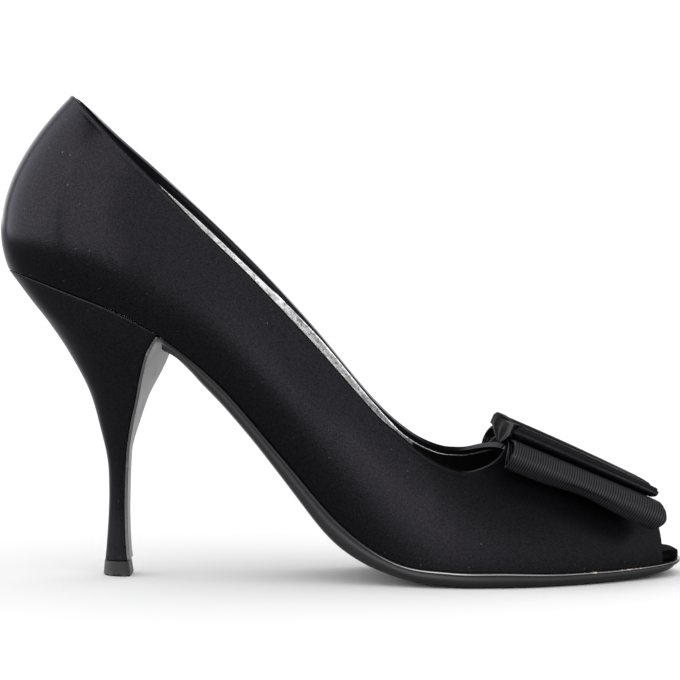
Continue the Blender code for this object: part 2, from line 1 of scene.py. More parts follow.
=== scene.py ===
# %% [markdown]
# # A black satin pump with a ribbon bow
# The solids of this shoe are already settled: a hollow upper, an insole, a sole, a covered heel
# and a bow. This lesson dresses them. The frame comes in first, because every piece made below
# has to sit exactly where its solid is, in metres, with the toe towards +X and the floor at z = 0.

# %% Load the frame
import math
from collections import namedtuple

import bpy
import numpy as np
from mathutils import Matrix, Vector


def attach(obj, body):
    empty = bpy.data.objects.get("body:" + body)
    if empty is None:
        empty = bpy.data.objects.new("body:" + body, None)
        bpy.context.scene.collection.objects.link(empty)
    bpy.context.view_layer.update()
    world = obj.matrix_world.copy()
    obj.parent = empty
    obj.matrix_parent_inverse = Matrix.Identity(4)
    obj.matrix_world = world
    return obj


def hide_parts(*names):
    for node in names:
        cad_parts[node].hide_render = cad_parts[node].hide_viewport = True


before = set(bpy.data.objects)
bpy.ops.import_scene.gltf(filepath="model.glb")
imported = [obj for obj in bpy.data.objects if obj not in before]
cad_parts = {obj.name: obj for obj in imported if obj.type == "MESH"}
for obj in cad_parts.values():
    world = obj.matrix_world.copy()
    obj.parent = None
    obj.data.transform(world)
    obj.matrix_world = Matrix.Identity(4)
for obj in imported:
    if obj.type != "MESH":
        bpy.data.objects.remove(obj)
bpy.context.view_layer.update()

MM = 0.001
print("solids in the frame:", ", ".join(sorted(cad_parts)))

# %% [markdown]
# ## The camera
# A shoe is usually photographed from its outer side, nearly level, with a long lens from a good
# way off, so that the toe and the heel keep their true sizes. The camera could be placed by eye
# in the viewport. Here it is worked out from one target, a distance and a height angle instead.

# %% Camera
TARGET = Vector((-0.00045, 0.0, 0.07874))
CAMERA_DISTANCE = 1.5
CAMERA_RISE = math.radians(4.5)
LENS_MM = 238.2

lens = bpy.data.cameras.new("portrait_lens")
lens.lens = LENS_MM
camera = bpy.data.objects.new("portrait_camera", lens)
camera.location = TARGET + CAMERA_DISTANCE * Vector((0, -math.cos(CAMERA_RISE), math.sin(CAMERA_RISE)))
camera.rotation_euler = (math.pi / 2 - CAMERA_RISE, 0, 0)
bpy.context.scene.collection.objects.link(camera)
bpy.context.scene.camera = camera
print("camera at", [round(value, 3) for value in camera.location])

# %% [markdown]
# ## Reckoning with sockets
# A material is a graph of nodes, and graphs are slow to write one link at a time. They could be
# drawn by hand in the shader editor, but a socket that answers to + - * and / lets the maths stand
# as a plain expression, which is easier to read and to change.

# %% Wires
class Wire:
    """A node's output that can be reckoned with. Maths on wires adds Math nodes."""

    def __init__(self, swatch, socket):
        self.swatch = swatch
        self.socket = socket

    def maths(self, operation, *values):
        return self.swatch.add("ShaderNodeMath", {"operation": operation}, dict(enumerate(values)))

    def __add__(self, other):
        return self.maths("ADD", self, other)

    def __sub__(self, other):
        return self.maths("SUBTRACT", self, other)

    def __rsub__(self, other):
        return self.maths("SUBTRACT", other, self)

    def __mul__(self, other):
        return self.maths("MULTIPLY", self, other)

    def __truediv__(self, other):
        return self.maths("DIVIDE", self, other)

    __radd__ = __add__
    __rmul__ = __mul__

    def sine(self):
        return self.maths("SINE", self)

    def rises(self, low, high):
        """0 below low, 1 above high and a soft step between them. Low may be above high."""
        ends = {"Value": self, "From Min": low, "From Max": high}
        return self.swatch.add("ShaderNodeMapRange", {"interpolation_type": "SMOOTHSTEP"}, ends)


print("wires answer to + - * and /")

# %% [markdown]
# A swatch is one finish: a material with a single surface, and one method that adds every other
# kind of node to it. Colours go through Mix nodes, because a Math node would turn them grey.

# %% Swatches
class Swatch:
    """A material with one Principled surface. Constants go straight on to its sockets."""

    def __init__(self, name, **constants):
        self.material = bpy.data.materials.new(name)
        self.material.use_nodes = True
        self.nodes = self.material.node_tree.nodes
        self.surface = self.nodes["Principled BSDF"]
        self.wear(constants)

    def wear(self, sockets):
        self.fill(self.surface, {key.replace("_", " "): value for key, value in sockets.items()})

    def fill(self, node, sockets):
        for key, value in sockets.items():
            if isinstance(value, Wire):
                self.material.node_tree.links.new(value.socket, node.inputs[key])
            else:
                node.inputs[key].default_value = value

    def add(self, kind, settings=None, sockets=None, out=0):
        node = self.nodes.new(kind)
        for key, value in (settings or {}).items():
            setattr(node, key, value)
        self.fill(node, sockets or {})
        return Wire(self, node.outputs[out])

    def place(self):
        """Where a point lies on the shoe, in metres."""
        return self.add("ShaderNodeTexCoord", out="Object")

    def parts(self, vector):
        """A vector's x, y and z."""
        return [self.add("ShaderNodeSeparateXYZ", None, {0: vector}, axis) for axis in "XYZ"]

    def chart(self, name):
        """The two coordinates that a piece was given when it was made, in millimetres."""
        return self.parts(self.add("ShaderNodeUVMap", {"uv_map": name}))[:2]

    def vector(self, x, y, z=0.0):
        return self.add("ShaderNodeCombineXYZ", None, {"X": x, "Y": y, "Z": z})

    def noise(self, vector, scale, detail=2.0):
        sockets = {"Vector": vector, "Scale": scale, "Detail": detail}
        return self.add("ShaderNodeTexNoise", None, sockets)

    def blend(self, mask, first, second):
        """A colour between two colours. The Mix node keeps its colours in sockets 6 and 7."""
        return self.add("ShaderNodeMix", {"data_type": "RGBA"}, {0: mask, 6: first, 7: second}, 2)

    def largest(self, first, second):
        return first.maths("MAXIMUM", first, second)

    def relief(self, height):
        """A normal bent by a height in metres."""
        return self.add("ShaderNodeBump", None, {"Height": height, "Distance": 1.0})


print("swatches are ready to be mixed")

# %% [markdown]
# ## The last
# A shoe is built over a last, a block with the foot's shape. Its surface could be sculpted, but a
# table of sections keeps it the true one: each row is one cut across the last, and a smooth curve
# runs through all rows, from the back round both sides to the toe tip. Lengths are shares of the
# shoe's length, breadths of the ball's width and heights of the heel's height.

# %% Sections of the last
LENGTH = 0.2270
BALL_WIDTH = 0.0744
HEEL_HEIGHT = 0.1030
WALL = 0.0018
GAP = 0.0003
LATERAL, MEDIAL = -1, 1

Section = namedtuple(
    "Section",
    "name along lateral medial bottom crest_along centre half crest"
    " facing yaw lean low roll high",
)
SECTIONS = [
    Section("back", 0.011, -0.040, 0.040, 0.997, 0.132, 0.040, 0.000, 1.612, 180, -4, 22, 0.25, 41, 0.64),
    Section("back_turn", 0.025, 0.112, 0.185, 0.991, 0.137, 0.040, 0.060, 1.607, 150, -4, 23, 0.25, 44, 0.60),
    Section("heel_rear", 0.058, 0.226, 0.296, 0.970, 0.150, 0.040, 0.121, 1.592, 125, -4, 23, 0.25, 50, 0.57),
    Section("heel_mid", 0.110, 0.304, 0.363, 0.930, 0.172, 0.036, 0.188, 1.553, 105, -4, 22, 0.25, 60, 0.52),
    Section("heel_front", 0.172, 0.331, 0.358, 0.876, 0.207, 0.027, 0.249, 1.485, 95, -3, 15, 0.29, 72, 0.45),
    Section("breast", 0.238, 0.323, 0.315, 0.794, 0.256, 0.013, 0.282, 1.359, 91, -2, 12, 0.29, 80, 0.43),
    Section("shank_rear", 0.322, 0.309, 0.262, 0.641, 0.335, 0.007, 0.296, 1.175, 90, 0, 14, 0.30, 84, 0.45),
    Section("shank", 0.410, 0.323, 0.242, 0.419, 0.419, 0.004, 0.269, 1.029, 90, 0, 14, 0.30, 78, 0.42),
    Section("waist", 0.498, 0.363, 0.269, 0.198, 0.507, 0.003, 0.188, 0.903, 90, 1, 8, 0.27, 60, 0.40),
    Section("waist_front", 0.577, 0.427, 0.345, 0.082, 0.582, 0.003, 0.094, 0.728, 90, 2, 4, 0.30, 35, 0.42),
    Section("ball_rear", 0.657, 0.490, 0.449, 0.056, 0.657, 0.004, 0.020, 0.539, 90, 4, 0, 0.41, 12, 0.49),
    Section("throat", 0.740, 0.489, 0.498, 0.053, 0.740, 0.008, 0.000, 0.422, 90, 5.7, 0, 0.45, 0, 0.45),
    Section("vamp", 0.811, 0.429, 0.486, 0.046, 0.809, 0.030, 0.000, 0.355, 90, 5.7, 0, 0.48, 0, 0.54),
    Section("toe_rear", 0.877, 0.329, 0.435, 0.045, 0.872, 0.051, 0.000, 0.287, 90, 5.7, 0, 0.51, 0, 0.61),
    Section("toe_side", 0.930, 0.219, 0.359, 0.0455, 0.919, 0.067, 0.000, 0.238, 90, 5.7, 0, 0.54, 0, 0.64),
    Section("opening", 0.971, 0.116, 0.272, 0.0485, 0.959, 0.077, 0.000, 0.197, 90, 5.7, 0, 0.63, 0, 0.67),
    Section("toe_turn", 0.989, 0.043, 0.191, 0.0515, 0.974, 0.075, 0.000, 0.146, 90, 5.7, 0, 0.63, 0, 0.67),
    Section("tip", 0.9962, -0.074, 0.074, 0.0535, 0.985, 0.074, 0.000, 0.087, 90, 5.7, 0, 0.63, 0, 0.67),
]
STATION = {row.name: i for i, row in enumerate(SECTIONS)}
TIP = STATION["tip"]
print("the last has", len(SECTIONS), "sections a side")

# %% [markdown]
# Straight lines between the sections would leave facets. A curve that passes through every row,
# and takes its slope from the rows on either side, keeps the surface smooth. The rows of both sides
# are joined into one closed loop, so that the curve runs round the back and the tip as well.

# %% Surface of the last
def catmull(rows, places, closed=False):
    """Points at places along rows, on a smooth curve that passes through each row."""
    rows = np.asarray(rows, float)
    places = np.asarray(places, float)
    first = np.floor(places).astype(int)
    share = (places - first).reshape(places.shape + (1,) * (rows.ndim - 1))
    index = [first + step for step in (-1, 0, 1, 2)]
    if closed:
        before, a, b, after = (rows[i % len(rows)] for i in index)
    else:
        before, a, b, after = (rows[np.clip(i, 0, len(rows) - 1)] for i in index)
    square, cube = share**2, share**3
    ease = 3 * square - 2 * cube
    bend = (b - before) * (cube - 2 * square + share) + (after - a) * (cube - square)
    return a * (1 - ease) + b * ease + bend / 2


def along_to_x(along):
    return (along - 0.5) * LENGTH


def x_to_along(x):
    return x / LENGTH + 0.5


def section_values(row, side):
    breadth = row.medial if side > 0 else row.lateral
    facing = 180 - side * (180 - row.facing) + row.yaw
    crest_across = row.centre + side * row.half
    return [
        along_to_x(row.along), side * breadth * BALL_WIDTH, row.bottom * HEEL_HEIGHT,
        along_to_x(row.crest_along), crest_across * BALL_WIDTH, row.crest * HEEL_HEIGHT,
        facing, row.lean, row.low, row.roll, row.high,
    ]


LAST_LOOP = [section_values(row, LATERAL) for row in reversed(SECTIONS)]
LAST_LOOP += [section_values(row, MEDIAL) for row in SECTIONS[1:-1]]


def last_at(stations, side):
    """The last's values at stations that are counted from the back to the tip."""
    return catmull(LAST_LOOP, TIP + side * np.asarray(stations, float), closed=True)


print("the last runs through", len(LAST_LOOP), "sections")

# %% [markdown]
# ## Edges of the last
# The sole, the insole and the heel's seat all follow the last's bottom outline, some of them a
# little outside or inside it. A point beside the outline is found by stepping out along the
# outline's own normal and then taking the height of the last's bottom at that place.

# %% Bottom outline
NORMAL_STEP = 0.02
BOTTOM_POINTS = 700
FILL_POINTS = 12
BOTTOM_LINE = last_at(np.linspace(0, TIP, BOTTOM_POINTS), MEDIAL)[:, :3]


def bottom_height(x):
    return np.interp(x, BOTTOM_LINE[:, 0], BOTTOM_LINE[:, 2])


def edge_points(stations, side, out, rise):
    """Points beside the bottom outline, out from it and above it."""
    stations = np.asarray(stations, float)
    points = last_at(stations, side)[:, :3]
    run = last_at(stations + side * NORMAL_STEP, side) - last_at(stations - side * NORMAL_STEP, side)
    normal = np.stack([-run[:, 1], run[:, 0]], axis=1)
    normal /= np.linalg.norm(normal, axis=1, keepdims=True)
    points[:, :2] += normal * np.reshape(out, (-1, 1))
    points[:, 2] = bottom_height(points[:, 0]) + rise
    return points


def smooth_table(rows):
    """Rows of along and values, filled in smoothly, as columns."""
    return catmull(rows, np.linspace(0, len(rows) - 1, FILL_POINTS * len(rows))).T


print("bottom outline: %.1f mm long" % ((BOTTOM_LINE[-1, 0] - BOTTOM_LINE[0, 0]) / MM))

# %% [markdown]
# ## From points to pieces
# Every piece below is a grid of points, so one helper turns grids into meshes. It also writes
# charts: UV maps that hold millimetres on the piece, such as the distance from an edge. They let
# a finish know where it is without any image, and they go through the modifiers unharmed.

# %% Pieces
def grid_faces(columns, rows, wrap=False):
    """Quads of a grid that is stored column by column."""
    strips = columns if wrap else columns - 1
    column, row = np.meshgrid(np.arange(strips), np.arange(rows - 1), indexing="ij")
    here = (column * rows + row).ravel()
    there = ((column + 1) % columns * rows + row).ravel()
    return np.stack([there, here, here + 1, there + 1], axis=1).tolist()


def capped_faces(points, rings):
    """Quads round a stack of rings, with a cap at each end."""
    faces = grid_faces(points, rings, wrap=True)
    caps = [list(range(0, rings * points, rings)), list(range(rings * points - 1, 0, -rings))]
    return faces + caps


SHOE = bpy.data.collections.new("shoe")


def make_piece(name, points, faces, swatches, charts, node):
    """A smooth mesh that stands for one solid, with its finishes and its charts."""
    mesh = bpy.data.meshes.new(name)
    mesh.from_pydata(np.asarray(points).reshape(-1, 3).tolist(), [], faces)
    corners = np.empty(len(mesh.loops), int)
    mesh.loops.foreach_get("vertex_index", corners)
    for chart, values in charts.items():
        layer = mesh.uv_layers.new(name=chart)
        layer.uv.foreach_set("vector", np.asarray(values, np.float32).reshape(-1, 2)[corners].ravel())
    mesh.shade_smooth()
    for swatch in swatches:
        mesh.materials.append(swatch.material)
    piece = bpy.data.objects.new(name, mesh)
    bpy.context.scene.collection.objects.link(piece)
    SHOE.objects.link(piece)
    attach(piece, "root")
    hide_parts(node)
    print(name, "has", len(mesh.polygons), "faces before its modifiers")
    return piece


print("pieces go into the collection", SHOE.name)

# %% [markdown]
# Thickness and rounded edges are left to modifiers. They could be worked out point by point, but
# a modifier also carries the charts along and lets a width be changed later in the viewport.

# %% Modifiers
WELD_REACH = 0.00001


def weld(piece):
    """Join the points that lie in one place."""
    joint = piece.modifiers.new("weld", "WELD")
    joint.merge_threshold = WELD_REACH


def thicken(piece, thickness, offset, inner=0):
    """True thickness for a sheet. The inner side may wear the swatch that is inner places on."""
    solid = piece.modifiers.new("thickness", "SOLIDIFY")
    solid.thickness = thickness
    solid.offset = offset
    solid.material_offset = inner


def soften(piece, width, degrees=50, segments=3):
    """Round off the sharp edges."""
    rounding = piece.modifiers.new("rounding", "BEVEL")
    rounding.width = width
    rounding.segments = segments
    rounding.limit_method = "ANGLE"
    rounding.angle_limit = math.radians(degrees)
    rounding.harden_normals = True


print("sheets can be welded, thickened and softened")

# %% [markdown]
# ## Satin
# Satin has long floating threads that mirror the light, while the black dye swallows the rest.
# A metallic surface does just that: its base colour is the strength of the mirror, here less
# than one part in a hundred, and its edge tint keeps the rims from glaring. A weave this fine
# shows from a step away only as a faint grain, with a few specks of lint on it.

# %% Satin
DULL_THREAD = (0.0031, 0.0030, 0.0036, 1)
BRIGHT_THREAD = (0.0060, 0.0056, 0.0066, 1)
LINT = (0.030, 0.030, 0.032, 1)
EDGE_TINT = (0.55, 0.55, 0.57, 1)
SATIN_MIRROR = 0.8
FAINT_SHINE = 0.03
THREAD_MM = 0.16
FLOAT_THREADS = 6
CLOUD_SCALE, GRAIN_SCALE, LINT_SCALE = 45.0, 2200.0, 1500.0
GRAIN_RANGE, LINT_RANGE = (0.3, 0.7), (0.85, 0.89)
THREAD_SHIMMER, CLOUD_SHIMMER = 0.10, 0.06
THREAD_RELIEF, GRAIN_RELIEF = 0.000008, 0.00002


def dyed(thread, mirror_and_painted_light):
    """A thread's colour, with a stronger or a weaker mirror, which on the bow's ribbon is a painted highlight
    and on its band painted shade.
    """
    return [mirror_and_painted_light * value for value in thread[:3]] + [1]


def satin(name, softness, mirror_and_painted_light, edge_tint, finish=None):
    """Black satin whose threads run along the cloth chart's first coordinate."""
    swatch = Swatch(name, Metallic=SATIN_MIRROR, Specular_IOR_Level=FAINT_SHINE, Specular_Tint=edge_tint)
    u, v = swatch.chart("cloth")
    floats = swatch.vector(u / (FLOAT_THREADS * THREAD_MM), v / THREAD_MM)
    threads = swatch.noise(floats, 1.0, 1.0)
    cloud = swatch.noise(swatch.place(), CLOUD_SCALE)
    grain = swatch.noise(swatch.place(), GRAIN_SCALE, 1.0)
    lint = swatch.noise(swatch.place(), LINT_SCALE, 0.0).rises(*LINT_RANGE)
    cloth = swatch.blend(grain.rises(*GRAIN_RANGE), dyed(DULL_THREAD, mirror_and_painted_light), dyed(BRIGHT_THREAD, mirror_and_painted_light))
    roughness = softness + THREAD_SHIMMER * (threads - 0.5) + CLOUD_SHIMMER * (cloud - 0.5)
    if finish:
        cloth, roughness = finish(swatch, cloth, roughness)
    swatch.wear({
        "Base Color": swatch.blend(lint, cloth, LINT),
        "Roughness": roughness,
        "Normal": swatch.relief(THREAD_RELIEF * threads + GRAIN_RELIEF * grain),
    })
    return swatch


heel_satin = satin("heel_satin", softness=0.32, mirror_and_painted_light=1.35, edge_tint=EDGE_TINT)
print("satin threads are", THREAD_MM, "mm apart")

# %% [markdown]
# The upper's satin is folded in along the topline. Painted shade darkens the turn of the cloth, and
# near the throat a painted highlight makes a pale line on the outer side and painted sheen a wider band on
# the inner one.
# Towards the toe the cloth is also a little duller. A separate strip could be sewn on for the hem,
# but it is the same cloth, so the finish reads its place from a chart of the distance to the collar.

# %% Hemmed satin
HEM_MM, THROAT_HEM_MM, HEM_BLUR_MM = 0.6, 2.2, 0.15
# Painted light on the hem: shade along the turn, a highlight on the outer side at the throat and sheen on the
# inner side.
HEM_TURN_PAINTED_SHADE = (0.0012, 0.0012, 0.0014, 1)
THROAT_PAINTED_HIGHLIGHT = (0.0350, 0.0340, 0.0350, 1)
THROAT_PAINTED_SHEEN = (0.0080, 0.0078, 0.0084, 1)
TO_MEDIAL = (-0.004, 0.002)
TO_THROAT_MM = (38.0, 48.0)
TO_TOE_MM = (-10.0, 60.0)
VAMP_SOFTER = 0.22


def hem_light_and_shade(swatch, colour, roughness):
    """A hem along the collar with painted shade where it turns, a painted highlight on the outer side and
    painted sheen on the inner side at the throat, and a softer vamp.
    """
    edge, _ = swatch.chart("collar")
    along, _ = swatch.chart("cloth")
    _, across, _ = swatch.parts(swatch.place())
    medial = across.rises(*TO_MEDIAL)
    width = HEM_MM + (THROAT_HEM_MM - HEM_MM) * medial
    # Painted shade along the turn of the cloth; at the throat a painted highlight on the outer side and
    # painted sheen on the inner one.
    wear_and_throat_highlight = (edge - width).rises(HEM_BLUR_MM, -HEM_BLUR_MM) * along.rises(*TO_THROAT_MM)
    turn_shade = edge.rises(HEM_MM + HEM_BLUR_MM, HEM_MM - HEM_BLUR_MM)
    throat = swatch.blend(medial, THROAT_PAINTED_HIGHLIGHT, THROAT_PAINTED_SHEEN)
    hem = swatch.blend(wear_and_throat_highlight, swatch.blend(turn_shade, colour, HEM_TURN_PAINTED_SHADE), throat)
    return hem, roughness + VAMP_SOFTER * along.rises(*TO_TOE_MM)


upper_satin = satin("upper_satin", softness=0.20, mirror_and_painted_light=1.0, edge_tint=EDGE_TINT, finish=hem_light_and_shade)
print("the hem is", HEM_MM, "mm wide along the sides")

# %% [markdown]
# ## The lining
# Inside, a narrow black facing runs along the topline. Below it the quarters are lined with
# crinkled silver foil leather, which falls into shade lower down near the heel. The vamp has a
# black lining, and a thin silver piping goes on under its facing. They could be separate sheets,
# but all lie flat on one wall, so a chart of the distance from the collar and the place along the
# shoe says which of them shows.

# %% Lining finish
FACING_MM, FACING_MID_MM, FACING_FRONT_MM = 2.9, 1.3, 2.0
NARROWING_MM, WIDENING_MM = (-46.0, 2.0), (8.0, 24.0)
SILVER_END_MM, SILVER_BLUR_MM, FACING_BLUR_MM = 24.0, 0.6, 0.1
PIPING_MM, PIPING_END_MM, PIPING_FADE_MM = 0.4, 53.0, 8.0
SHADE_DOWN_MM, SHADE_BACK_MM = (1.2, 3.0), (6.0, -30.0)
SILVER = (0.72, 0.72, 0.72, 1)
CRINKLE_PAINTED_SHADE = (0.34, 0.34, 0.34, 1)
SHADED = (0.16, 0.16, 0.16, 1)
FACING = (0.0120, 0.0115, 0.0130, 1)
FACING_SOFTNESS, FOIL_SOFTER = 0.33, 0.10
CRINKLE_SCALE, BUCKLE_SCALE = 800.0, 130.0
CRINKLE_RANGE = (0.50, 0.34)
CRINKLE_RELIEF, BUCKLE_RELIEF = 0.00010, 0.0004


def make_lining():
    swatch = Swatch("quarter_lining", Specular_IOR_Level=FAINT_SHINE, Specular_Tint=EDGE_TINT)
    edge, _ = swatch.chart("collar")
    along, _ = swatch.chart("cloth")
    narrowing = along.rises(*NARROWING_MM) * (FACING_MM - FACING_MID_MM)
    widening = along.rises(*WIDENING_MM) * (FACING_FRONT_MM - FACING_MID_MM)
    below = edge - (FACING_MM - narrowing + widening)
    quarter = along.rises(SILVER_END_MM + SILVER_BLUR_MM, SILVER_END_MM - SILVER_BLUR_MM)
    cord = below.rises(PIPING_MM + FACING_BLUR_MM, PIPING_MM)
    piping = cord * along.rises(PIPING_END_MM, PIPING_END_MM - PIPING_FADE_MM)
    silver = below.rises(-FACING_BLUR_MM, FACING_BLUR_MM) * swatch.largest(quarter, piping)
    place = swatch.place()
    crinkle = swatch.noise(place, CRINKLE_SCALE, 4.0)
    buckle = swatch.noise(place, BUCKLE_SCALE, 2.0)
    shaded = below.rises(*SHADE_DOWN_MM) * along.rises(*SHADE_BACK_MM)
    # Painted shade: the foil is darker in the hollows of its crinkles, and lower down near the heel.
    lit_foil = swatch.blend(crinkle.rises(*CRINKLE_RANGE), SILVER, CRINKLE_PAINTED_SHADE)
    swatch.wear({
        "Base Color": swatch.blend(silver, FACING, swatch.blend(shaded, lit_foil, SHADED)),
        "Metallic": SATIN_MIRROR + (1 - SATIN_MIRROR) * silver,
        "Roughness": FACING_SOFTNESS + FOIL_SOFTER * (silver + buckle - 0.5),
        "Normal": swatch.relief(silver * (CRINKLE_RELIEF * crinkle + BUCKLE_RELIEF * buckle)),
    })
    return swatch


lining = make_lining()
print("the facing is", FACING_MM, "mm wide at the heel")

# %% [markdown]
# ## The upper
# On the real shoe the satin is pulled down over the last and folded in along the topline. Cloth
# could be simulated, but a lasted upper is stretched tight, so its shape is the last's own. Each
# wall is a curve from the bottom outline up to the crest, cut off where it meets the collar.

# %% Collar
CollarPoint = namedtuple("CollarPoint", "along lateral medial")
COLLAR = [
    CollarPoint(0.075, 1.565, 1.565),
    CollarPoint(0.104, 1.557, 1.557),
    CollarPoint(0.121, 1.530, 1.526),
    CollarPoint(0.150, 1.470, 1.458),
    CollarPoint(0.176, 1.408, 1.402),
    CollarPoint(0.234, 1.282, 1.289),
    CollarPoint(0.295, 1.144, 1.167),
    CollarPoint(0.353, 1.020, 1.043),
    CollarPoint(0.410, 0.890, 0.912),
    CollarPoint(0.469, 0.750, 0.766),
    CollarPoint(0.527, 0.605, 0.609),
    CollarPoint(0.555, 0.537, 0.538),
    CollarPoint(0.586, 0.480, 0.474),
    CollarPoint(0.617, 0.425, 0.426),
    CollarPoint(0.648, 0.385, 0.399),
    CollarPoint(0.670, 0.368, 0.395),
    CollarPoint(0.687, 0.364, 0.399),
    CollarPoint(0.709, 0.375, 0.415),
    CollarPoint(0.727, 0.394, 0.424),
    CollarPoint(0.740, 0.421, 0.421),
]
COLLAR_ALONG, COLLAR_LATERAL, COLLAR_MEDIAL = smooth_table(COLLAR)
LOWEST_CUT = 0.3
WALL_SHARES = np.linspace(0, 1, 241)


def wall_lines(stations, side):
    """Each wall's line of points from the bottom outline to the crest."""
    values = last_at(stations, side)
    foot, crest = values[:, None, 0:3], values[:, None, 3:6]
    facing, lean, low, roll, high = values[:, 6:, None, None].swapaxes(0, 1)
    facing, lean, roll = np.radians(facing), np.radians(lean), np.radians(roll)
    out = np.concatenate([np.cos(facing), np.sin(facing), 0 * facing], axis=2)
    up = np.array([0.0, 0.0, 1.0])
    height = crest[..., 2:] - foot[..., 2:]
    start = foot + (out * np.sin(lean) + up * np.cos(lean)) * low * height
    end = crest + (out * np.cos(roll) - up * np.sin(roll)) * high * height
    share = WALL_SHARES[None, :, None]
    rest = 1 - share
    return rest**3 * foot + 3 * rest**2 * share * start + 3 * rest * share**2 * end + share**3 * crest


def cut_at_collar(line, side):
    """The part of a wall's line that lies below the collar."""
    heights = COLLAR_MEDIAL if side > 0 else COLLAR_LATERAL
    above = line[:, 2] - np.interp(x_to_along(line[:, 0]), COLLAR_ALONG, heights) * HEEL_HEIGHT
    over = np.nonzero((above >= 0) & (WALL_SHARES > LOWEST_CUT))[0]
    if len(over) == 0:
        return line
    i = over[0]
    share = above[i - 1] / (above[i - 1] - above[i])
    return np.vstack([line[:i], line[i - 1] + (line[i] - line[i - 1]) * share])


print("the collar's lowest point is %.1f mm up" % (COLLAR_LATERAL.min() * HEEL_HEIGHT / MM))

# %% [markdown]
# Satin that is pulled over a last is never quite even. A few soft creases beside the ball could
# be sculpted, but a shallow trough with a place, a slant and a size of its own is quicker to move.

# %% Creases
Crease = namedtuple("Crease", "side x_mm up_mm slant_deg length_mm width_mm depth_mm")
CREASES = [
    Crease(LATERAL, 36, 24, 78, 11, 2.6, 0.16),
    Crease(LATERAL, 46, 25, 70, 9, 2.2, 0.14),
    Crease(LATERAL, 27, 26, 84, 10, 3.0, 0.12),
    Crease(MEDIAL, 40, 25, 75, 10, 2.6, 0.16),
    Crease(MEDIAL, 30, 27, 82, 10, 3.0, 0.12),
]


def crease_depths(grid, up_mm, sides):
    """How far the listed creases sink each point, in metres."""
    depth = np.zeros(grid.shape[:2])
    for crease in CREASES:
        slant = math.radians(crease.slant_deg)
        x, up = grid[..., 0] / MM - crease.x_mm, up_mm - crease.up_mm
        run = x * math.cos(slant) + up * math.sin(slant)
        across = up * math.cos(slant) - x * math.sin(slant)
        trough = np.exp(-((run / crease.length_mm) ** 2) - (across / crease.width_mm) ** 2)
        depth += (sides == crease.side) * trough * crease.depth_mm * MM
    return depth


print("the satin has", len(CREASES), "creases")

# %% [markdown]
# The grid's columns crowd together where the collar turns across the throat, and its rows under
# the topline, so that the folded edge has points enough to stand proud of the wall and to end in
# a fine step. An even grid would need many more points for the same edge.

# %% Grid of the upper
REAR_STEPS, TURN_STEPS, TOE_STEPS = 10, 36, 12
EDGE_ROWS_MM = (7.0, 5.4, 4.2, 3.4, 2.8, 2.4, 2.0, 1.7, 1.4, 0.9, 0.0)
BODY_ROWS = 34


def side_stations():
    """Stations from the back to the toe opening, closer together where the collar turns across."""
    throat, opening = STATION["throat"], STATION["opening"]
    rear = np.linspace(0, throat - 1, REAR_STEPS * (throat - 1) + 1)[:-1]
    turn = throat - np.linspace(1, 0, TURN_STEPS + 1)[:-1] ** 2
    toe = np.linspace(throat, opening, TOE_STEPS * (opening - throat) + 1)
    return np.concatenate([rear, turn, toe])


def side_lines(stations, side):
    """One side's wall lines, cut off at the collar as far as the throat."""
    lines = wall_lines(stations, side)
    return [cut_at_collar(line, side) if place < STATION["throat"] else line
            for place, line in zip(stations, lines)]


def respaced(line):
    """A wall's line with its points where the rows of the grid go, and their heights on it."""
    reach = np.concatenate([[0], np.cumsum(np.linalg.norm(np.diff(line, axis=0), axis=1))])
    top = reach[-1] - np.array(EDGE_ROWS_MM) * MM
    rows = np.concatenate([np.linspace(0, top[0], BODY_ROWS + 1)[:-1], top])
    return np.stack([np.interp(rows, reach, line[:, axis]) for axis in range(3)], axis=1), rows


def sheet_normals(grid):
    """Outward directions of a grid of points."""
    normal = np.cross(np.gradient(grid, axis=1), np.gradient(grid, axis=0))
    return normal / np.linalg.norm(normal, axis=2, keepdims=True)


def nearest_mm(grid, edge):
    """How far each point of a grid lies from the nearest point of an edge."""
    gaps = [np.linalg.norm(column[:, None] - edge[None], axis=2).min(axis=1) for column in grid]
    return np.array(gaps) / MM


print("each side of the upper has", len(side_stations()), "wall lines")

# %% [markdown]
# The wall is one sheet, folded proud along its top edge and then given its true thickness inwards,
# so that the satin and the lining are the two sides of one piece. Two sheets, one inside the other,
# would leave a gap to be closed along every edge.

# %% Upper
FOLD_MM, THROAT_FOLD_MM, FOLD_SOFT_MM = 1.3, 2.4, 0.12
FOLD_PROUD, THROAT_PROUD = 0.00006, 0.0005
FOLD_GROOVE, FOLD_GROOVE_MM = 0.00005, 0.35
COLLAR_ROUND = 0.00055


def fold_rise(edge_mm, near_throat):
    """How far the folded edge stands out, and the fine groove where it ends sinks in, in metres."""
    past_fold = edge_mm - FOLD_MM - (THROAT_FOLD_MM - FOLD_MM) * near_throat**3
    fold = 1 / (1 + np.exp(past_fold / FOLD_SOFT_MM))
    groove = np.exp(-(((past_fold - FOLD_GROOVE_MM) / FOLD_GROOVE_MM) ** 2))
    proud = FOLD_PROUD + (THROAT_PROUD - FOLD_PROUD) * near_throat**9
    return proud * fold - FOLD_GROOVE * groove


